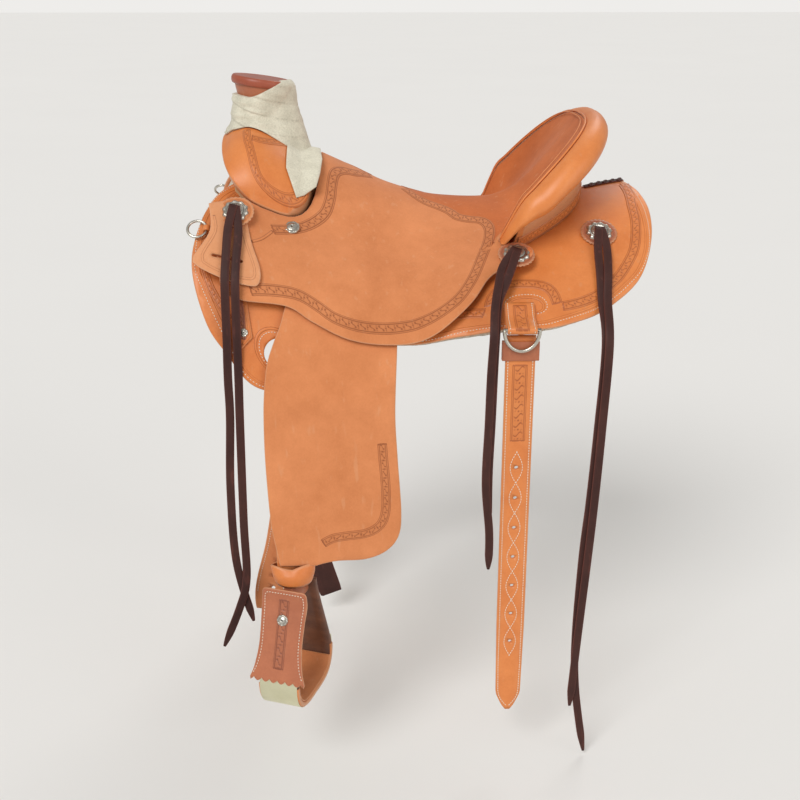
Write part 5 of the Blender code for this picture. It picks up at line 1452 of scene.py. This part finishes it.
def make_leathers(suffix, side):
    """Doubled stirrup leather with its twisted neck, and its tail."""
    top = [(z, fender_y(z) - LEATHER_BACK, 0.0)
           for z in (LEATHER_TOP_Z, LEATHER_TOP_Z - LEATHER_RUN, LEATHER_TOP_Z - 2 * LEATHER_RUN, NECK_TOP)]
    levels = [(a[0] + (b[0] - a[0]) * t / 6, a[1] + (b[1] - a[1]) * t / 6, 0.0)
              for a, b in zip(top, top[1:]) for t in range(6)]
    neck_y = top[-1][1]
    for i in range(NECK_STEPS + 1):
        share = i / NECK_STEPS
        twist = (math.radians(90.0) + STIRRUP_TURN) * (1 - smooth_fall(share)) * -side
        levels.append((NECK_TOP - NECK_DROP * share, neck_y + (NECK_Y - neck_y) * share, twist))
    half_w, half_t = LEATHER_WIDTH / 2, LEATHER_THICK
    ring = [(half_w, -half_t + 1.2, 1.0), (half_w, -0.4, 1.0), (half_w - 0.8, 0.0, 0.0), (half_w, 0.4, 1.0),
            (half_w, half_t - 1.2, 1.0), (half_w - 1.2, half_t, 0.1), (half_w - 6.0, half_t, 0.0)]
    ring += [(-a, -b, cut) for a, b, cut in ring]
    ring = sorted(ring, key=lambda p: math.atan2(p[1] / half_t, p[0] / half_w))
    rings = []
    for z, y, twist in levels:
        c, k = math.cos(twist), math.sin(twist)
        rings.append([(Vector((NECK_X + a * c - b * k, side * y + a * k + b * c, z)), cut)
                      for a, b, cut in ring])
    add_piece("stirrup_leather_piece_" + suffix, sweep_mesh("leather", rings), "smooth", None,
              ("stirrup_leather_" + suffix,))

    under = LEATHER_BACK + LEATHER_THICK + GAP + 2.0
    path = [(NECK_X - 2.0, side * (fender_y(z) - under), z) for z in TAIL_TOP_Z]
    fine = curve(path + [(x, side * y, z) for x, y, z in LEATHER_TAIL], 8.0)
    width = lambda share: 42.0 + 4.0 * min(share * 4, 1.0) - max(share - 0.86, 0.0) ** 1.5 * 190.0
    node = "leather_tail_" + suffix
    tail = swept_piece("leather_tail_piece_" + suffix, fine, flat_section(width, 4.0), "rough", None, (node,))
    place = on_path(fine)
    carve(tail, [hole_cutter(place, place.length - left, 4.0, 3.0, 1.6, 16) for left in TAIL_HOLES])
    out = facing(place, 80, side)
    stitch_piece("tail_stitching_" + suffix,
                 [[(60.0, sign * 18.0), (place.length - 34.0, sign * 19.0)] for sign in (1, -1)],
                 lambda u, v, d: place(u, v, (d + 2.0) * out), BODY[node])


def make_hobble(suffix, side):
    """Strap round the neck: a band with an outer and an inner face, dipped in front and behind."""
    shape, cells, (edge,) = grid(HOBBLE_COLUMNS, HOBBLE_ROWS, "edge")
    fold = HOBBLE_ROWS // 2
    for vert, column, row in cells:
        turn = 2 * math.pi * column / HOBBLE_COLUMNS
        t = (row if row <= fold else HOBBLE_ROWS - row) / fold * 2
        k = min(int(t), 1)
        reach_x, reach_y, y, z = (p + (q - p) * (t - k) for p, q in zip(HOBBLE_BAND[k], HOBBLE_BAND[k + 1]))
        grow = (1.5 if row <= fold else -1.0) - (0.5 if row in (0, fold) else 0.0)
        c, s = math.cos(turn), math.sin(turn)
        dip = (12.0 * max(c, 0.0) + 7.0 * max(-c, 0.0) ** 1.5 - 2.0) * max(s, -0.2)
        vert[edge] = 1.0 if t < 0.15 or t > 1.85 else 0.0
        vert.co = Vector((NECK_X + (reach_x + grow) * c, side * (y + (reach_y + grow) * s),
                          z + dip * max(1 - t, 0.0))) * MM
    bmesh.ops.remove_doubles(shape, verts=shape.verts[:], dist=WELD_M)
    bmesh.ops.bridge_loops(shape, edges=[item for item in shape.edges if item.is_boundary])
    bmesh.ops.recalc_face_normals(shape, faces=shape.faces[:])
    add_piece("hobble_leather_" + suffix, to_mesh("hobble", shape), "smooth", None,
              ("hobble_strap_" + suffix,))


BOARD_THICK, BOARD_SOFT = 8.0, 1.6
SHELL_STEPS = 70
STIRRUP_SHELLS = (("binding", (0.27, 0.73), 59.0, (4.05, 4.9), "binding", 0.3),
                  ("lining", (0.34, 0.66), 61.0, (-6.2, -4.1), "rough", 0.7),
                  ("bottom_leather", (0.30, 0.70), 63.4, (-3.6, 3.8), "smooth", 1.4))
SCALLOPS, SCALLOP_DEEP, PANEL_FOOT, PANEL_FOOT_DROP = 3.5, 4.5, 43.0, 4.0
PANEL_CORNER = [(6.0, 34.6), (1.8, 32.6), (0.2, 28.0)]
PANEL_WIDTHS = ((0, 34), (22, 35.5), (48, 34), (86, 33.5), (118, 37.5))
PANEL_SEAM = ((112, 32.0), (86, 28.5), (48, 29), (22, 30.3), (10, 29.6), (6, 26))
PANEL_HALF_THICK = 1.5


def make_stirrup(suffix, side):
    matrix = (Matrix.Translation(Vector((NECK_X, side * NECK_Y, BOLT_Z)))
              @ Matrix.Rotation(STIRRUP_TURN * -side, 4, "Z"))
    half = curve(STIRRUP_LINE, 4.0)
    path = [(0.0, y, z) for y, z in half + [(-y, z) for y, z in reversed(half[:-1])]]
    body = BODY["stirrup_" + suffix]

    def width(share):
        t = min(share, 1 - share) * 2
        return 48.0 + 14.0 * (1 - smooth_fall((t - 0.15) / 0.55))
    swept_piece("stirrup_body_" + suffix, path, flat_section(width, BOARD_THICK, BOARD_SOFT), "stirrup_wood",
                None, ("stirrup_" + suffix,), matrix=matrix)
    along = on_path(path, matrix)
    whole = along.length
    flip = 1.0 if (along(whole / 2, 0, 1) - along(whole / 2, 0, 0)).z < 0 else -1.0
    for name, (first, last), wide, (inner, outer), finish, soft in STIRRUP_SHELLS:
        spots = [along(whole * (first + (last - first) * i / SHELL_STEPS), 0, flip * (inner + outer) / 2)
                 for i in range(SHELL_STEPS + 1)]
        swept_piece(f"stirrup_{name}_{suffix}", [matrix.inverted() @ spot for spot in spots],
                    flat_section(wide, outer - inner, soft), finish, body, matrix=matrix)

    leg = on_path([(0.0, side * y, z) for y, z in curve(PANEL_LINE, 5.0)], matrix)
    out = facing(leg, 20, side)
    length = leg.length
    foot = length - PANEL_FOOT_DROP
    side_line = [(u, v) for u, v in curve(PANEL_WIDTHS + ((foot, PANEL_FOOT),), 6.0) if u > 8.0]
    scallops = [(foot + SCALLOP_DEEP * abs(math.sin(math.pi * SCALLOPS * v / PANEL_FOOT)), v)
                for v in [PANEL_FOOT * (1 - i / 42) for i in range(1, 84)]]
    outline = ([(u, -v) for u, v in PANEL_CORNER[::-1] + side_line] + scallops[::-1] + side_line[::-1]
               + PANEL_CORNER)
    sheet_piece("stirrup_panel_leather_" + suffix, outline, lambda u, v, d: leg(u, v, d * out),
                -PANEL_HALF_THICK, PANEL_HALF_THICK, "brown", None, ("stirrup_panel_" + suffix,), step=6.0,
                rim=1.0)
    on_panel = lambda u, v, d: leg(u, v, (d + PANEL_HALF_THICK) * out)
    strip_piece("stirrup_panel_border_" + suffix, [(14.0, 0.0), (length - 20.0, 0.0)], on_panel, 18.0,
                stamp(18.0, 17.0), "brown", body)
    seam = ((length - 12.0, 37.5),) + PANEL_SEAM
    stitch_piece("stirrup_panel_stitching_" + suffix,
                 [curve([(u, -v) for u, v in seam]) + curve([(5.6, -22), (5.4, 0), (5.6, 22), (6, 26)])
                  + curve(seam[-2::-1])], on_panel, body)
    small_concho("stirrup_panel_concho_" + suffix, on_panel, (46.0, 0.0), 8.6, body)
    dressed("stirrup_loop_" + suffix, "brown", 0.7)
    dressed("stirrup_roller_" + suffix, "silver", 0.4)


# Rear rigging and billets

RIG_S, RIG_LOW, RIG_OVER_BILLET = (253, 258, 264, 280), 2.8, 4.8
RIG_BEND, RIG_TURNS = 6.2, (50, 20, -10, -40, -65)
DEE_HALF, DEE_DROP, DEE_MARKS = 24.5, 30.0, 60
DEE_TWIST = math.pi * 44
BILLET_TOP, BILLET_LONG, BILLET_MARKS, BILLET_POINT = -95.0, 608.0, 90, 30.0
HOLE_TOP, HOLE_PITCH, HOLES = -293.0, 48.0, 7
WAVE_HIGH, WAVE_MARKS = 8.8, 120


def with_rod(mesh, middle, radius, length, segments):
    """The mesh with a round rod added that lies fore and aft."""
    shape = bmesh.new()
    shape.from_mesh(mesh)
    bmesh.ops.create_cone(shape, cap_ends=True, segments=segments, radius1=radius * MM, radius2=radius * MM,
                          depth=length * MM,
                          matrix=Matrix.Translation(middle * MM) @ Matrix.Rotation(math.pi / 2, 4, "Y"))
    return to_mesh(mesh.name, shape)


def make_rear_rig(suffix, side):
    low = RIG_LOW + (RIG_OVER_BILLET if suffix == "near" else 0.0)
    bar = Vector((BILLET_X, side * DEE_BAR_Y, DEE_BAR_Z))
    path = [drape(BILLET_X, side * s, low) for s in RIG_S]
    path += [bar + Vector((0.0, side * math.cos(turn), math.sin(turn))) * (RIG_BEND - 2.0)
             for turn in map(math.radians, RIG_TURNS)]
    fine = curve([tuple(p) for p in path], 5.0)
    strap = with_rod(swept_mesh("rig", fine, flat_section(41.0, 4.0)), bar, RIG_BEND - 0.8, 40.6, 40)
    add_piece("rear_rig_leather_" + suffix, strap, "smooth", None, ("rear_rig_" + suffix,))
    place = on_path(fine)
    out = facing(place, 20, side)
    face = lambda u, v, d: place(u, v, (d + 2.0) * out)
    strip_piece("rear_rig_border_" + suffix, [(4.0, 0.0), (place.length - 4.0, 0.0)], face, 21.0,
                stamp(21.0, 14.0), "smooth")
    stitch_piece("rear_rig_stitching_" + suffix, [[(3.0, v), (place.length, v)] for v in (17.0, -17.0)],
                 face, pitch=3.8)

    arc = [bar + Vector((DEE_HALF * math.cos(turn), 0.0, -DEE_DROP * math.sin(turn)))
           for turn in [math.pi * i / DEE_MARKS for i in range(DEE_MARKS + 1)]]
    rope = swept_mesh("dee", arc, round_section(2.7, relief=0.28, twist=DEE_TWIST), Vector((0.0, 1.0, 0.0)))
    add_piece("rear_dee_" + suffix, with_rod(rope, bar, 2.6, 2 * DEE_HALF + 3.0, 16), "silver", None,
              ("rear_ring_" + suffix,))


def make_near_billet():
    dressed("billet_root_near", "smooth", 0.6)
    middle = lambda z, x, d: Vector((BILLET_X + x, -BILLET_Y - d, z))
    face = lambda z, x, d: middle(z, x, d + 2.0)

    def width(share):
        left = BILLET_LONG * (1 - share)
        if left < BILLET_POINT:
            return 8.0 + 30.0 * (left / BILLET_POINT) ** 0.75
        return 38.0 + 4.0 * min((left - BILLET_POINT) / 120.0, 1.0)
    path = [middle(BILLET_TOP - BILLET_LONG * i / BILLET_MARKS, 0.0, 0.0) for i in range(BILLET_MARKS + 1)]
    billet = swept_piece("billet_leather_near", path, flat_section(width, 4.0), "smooth", None,
                         ("billet_near",))
    carve(billet, [hole_cutter(middle, HOLE_TOP - HOLE_PITCH * k, 0.0, 2.9, reach=5.0) for k in range(HOLES)])
    body = BODY["billet_near"]
    strip_piece("billet_border_near", [(-136.0, 0.0), (-253.0, 0.0)], face, 23.0, stamp(23.0, 14.0),
                "smooth", body)
    lines = []
    for sign in (-1, 1):
        lines.append([(-133.0, sign * 17.3), (-620.0, sign * 16.6), (-668.0, sign * 15.6)]
                     + curve([(-676.0, sign * 14.4), (-686.0, sign * 10.0), (-695.0, sign * 3.0)]))
        waves = [HOLES * i / WAVE_MARKS for i in range(WAVE_MARKS + 1)]
        lines.append([(HOLE_TOP + HOLE_PITCH * (0.5 - wave), sign * WAVE_HIGH * math.sin(math.pi * wave))
                      for wave in waves])
    stitch_piece("billet_stitching_near", lines, face, body, 4.2, 1.1)
    dressed("billet_keeper_near", "brown", 1.0)


OFF_BILLET_LINE = ((-178, 234, -215), (-192, 226, -310), (-198, 205, -430), (-184, 188, -550),
                   (-156, 182, -650), (-131, 182, -735), (-127, 182, -748))
FOLD_OUT, FOLD_IN = 2.2, -SKIRT_THICK - 2.2
FOLD_LINE = ((384, FOLD_OUT + 0.4), (360, FOLD_OUT), (350, FOLD_OUT), (345, FOLD_OUT - 0.3),
             (343, -SKIRT_THICK / 2), (345, FOLD_IN + 0.3), (350, FOLD_IN), (360, FOLD_IN - 0.4),
             (380, FOLD_IN - 1.4), (400, FOLD_IN - 2.0))
FOLD_LONG, OFF_TIP = 135.0, 0.985


def make_off_billet():
    path = curve([tuple(drape(RIG_HOLE[0], s, d)) for s, d in FOLD_LINE] + list(OFF_BILLET_LINE), 8.0)
    fold_share = FOLD_LONG / sum(math.dist(a, b) for a, b in zip(path, path[1:]))

    def width(share):
        if share > OFF_TIP:
            return 44.0 - (share - OFF_TIP) * 530.0
        return 26.0 + 18.0 * (1 - smooth_fall((share - fold_share) / 0.12))
    swept_piece("off_billet_leather", path, flat_section(width, 2.6, 0.8), "dark", None, ("off_billet",),
                across=Vector((1.0, 0.03, 0.0)))


# Lacing that joins the skirts behind the cantle

LACE_PAD = [(286, -9), (286, 9), (346, 9), (346, -9)]
LACES, LACE_START, LACE_PITCH, LACE_BITS = 5, 293.0, 11.0, 8


def make_lacing():
    sheet_piece("skirt_lace_pad", LACE_PAD, drape, 0.6, 2.4, "dark", "saddle", step=5.0, rim=1.0)
    for k in range(LACES):
        x = LACE_START + LACE_PITCH * k
        spots = [drape(x + 7.0 * t, -7.0 + 14.0 * t, 2.7 + 0.5 * math.sin(math.pi * t))
                 for t in [i / LACE_BITS for i in range(LACE_BITS + 1)]]
        swept_piece(f"skirt_lace_{k + 1}", spots, flat_section(4.0, 1.8, 0.5), "dark", "saddle")


def finish_hidden():
    """Materials of the CAD nodes that stay: the tree inside the leather."""
    for node in frame["nodes"].values():
        if not node.hide_render:
            node.data.materials.clear()
            node.data.materials.append(MATERIALS["rawhide"])


# Floor, backdrop and light

FLOOR_Z_M = -0.795
FLOOR_HALF_M = 60.0
BACKDROP = 0.86
SKY = 0.44
SUNS = (("key", (-0.8, -1.4, 1.4), 1.75, 0.50), ("fill", (1.3, -1.3, 0.6), 0.60, 0.60),
        ("back", (0.5, 1.2, 1.2), 0.55, 0.50))


def make_stage():
    shape = bmesh.new()
    bmesh.ops.create_grid(shape, x_segments=1, y_segments=1, size=FLOOR_HALF_M)
    bmesh.ops.translate(shape, vec=(0, 0, FLOOR_Z_M), verts=shape.verts[:])
    floor = new_object("floor", to_mesh("floor", shape))
    finish = Finish("floor", {"Roughness": 0.95, "Specular IOR Level": 0.0})
    tone = finish.noise(0.8, 2.0)
    finish.colour(finish.mix(tone, (0.80, 0.79, 0.77), (0.82, 0.81, 0.79)))
    floor.data.materials.append(finish.material)

    world = bpy.data.worlds.new("studio")
    bpy.context.scene.world = world
    world.use_nodes = True
    tree = world.node_tree
    background = tree.nodes["Background"]
    background.inputs["Color"].default_value = (1.0, 0.985, 0.96, 1.0)
    path = tree.nodes.new("ShaderNodeLightPath")
    either = tree.nodes.new("ShaderNodeMath")
    either.operation = "MAXIMUM"
    tree.links.new(path.outputs["Is Camera Ray"], either.inputs[0])
    tree.links.new(path.outputs["Is Transmission Ray"], either.inputs[1])
    strength = tree.nodes.new("ShaderNodeMapRange")
    tree.links.new(either.outputs[0], strength.inputs["Value"])
    strength.inputs["To Min"].default_value = SKY
    strength.inputs["To Max"].default_value = BACKDROP
    tree.links.new(strength.outputs[0], background.inputs["Strength"])

    for name, place, power, angle in SUNS:
        data = bpy.data.lights.new(name, "SUN")
        data.energy = power
        data.angle = angle
        new_object(name, data).rotation_euler = Vector(place).to_track_quat("Z", "Y").to_euler()
    bpy.context.scene.view_settings.view_transform = "Standard"


set_camera()
make_strings()
for label, sign in SIDES:
    make_skirt(label, sign)
    make_fleece(label, sign)
    make_conchos(label, sign)
    make_front(label, sign)
    make_fender(label, sign)
    make_leathers(label, sign)
    make_hobble(label, sign)
    make_stirrup(label, sign)
    make_rear_rig(label, sign)
make_seat()
make_fork()
make_cantle()
make_near_billet()
make_off_billet()
make_lacing()
finish_hidden()
make_stage()
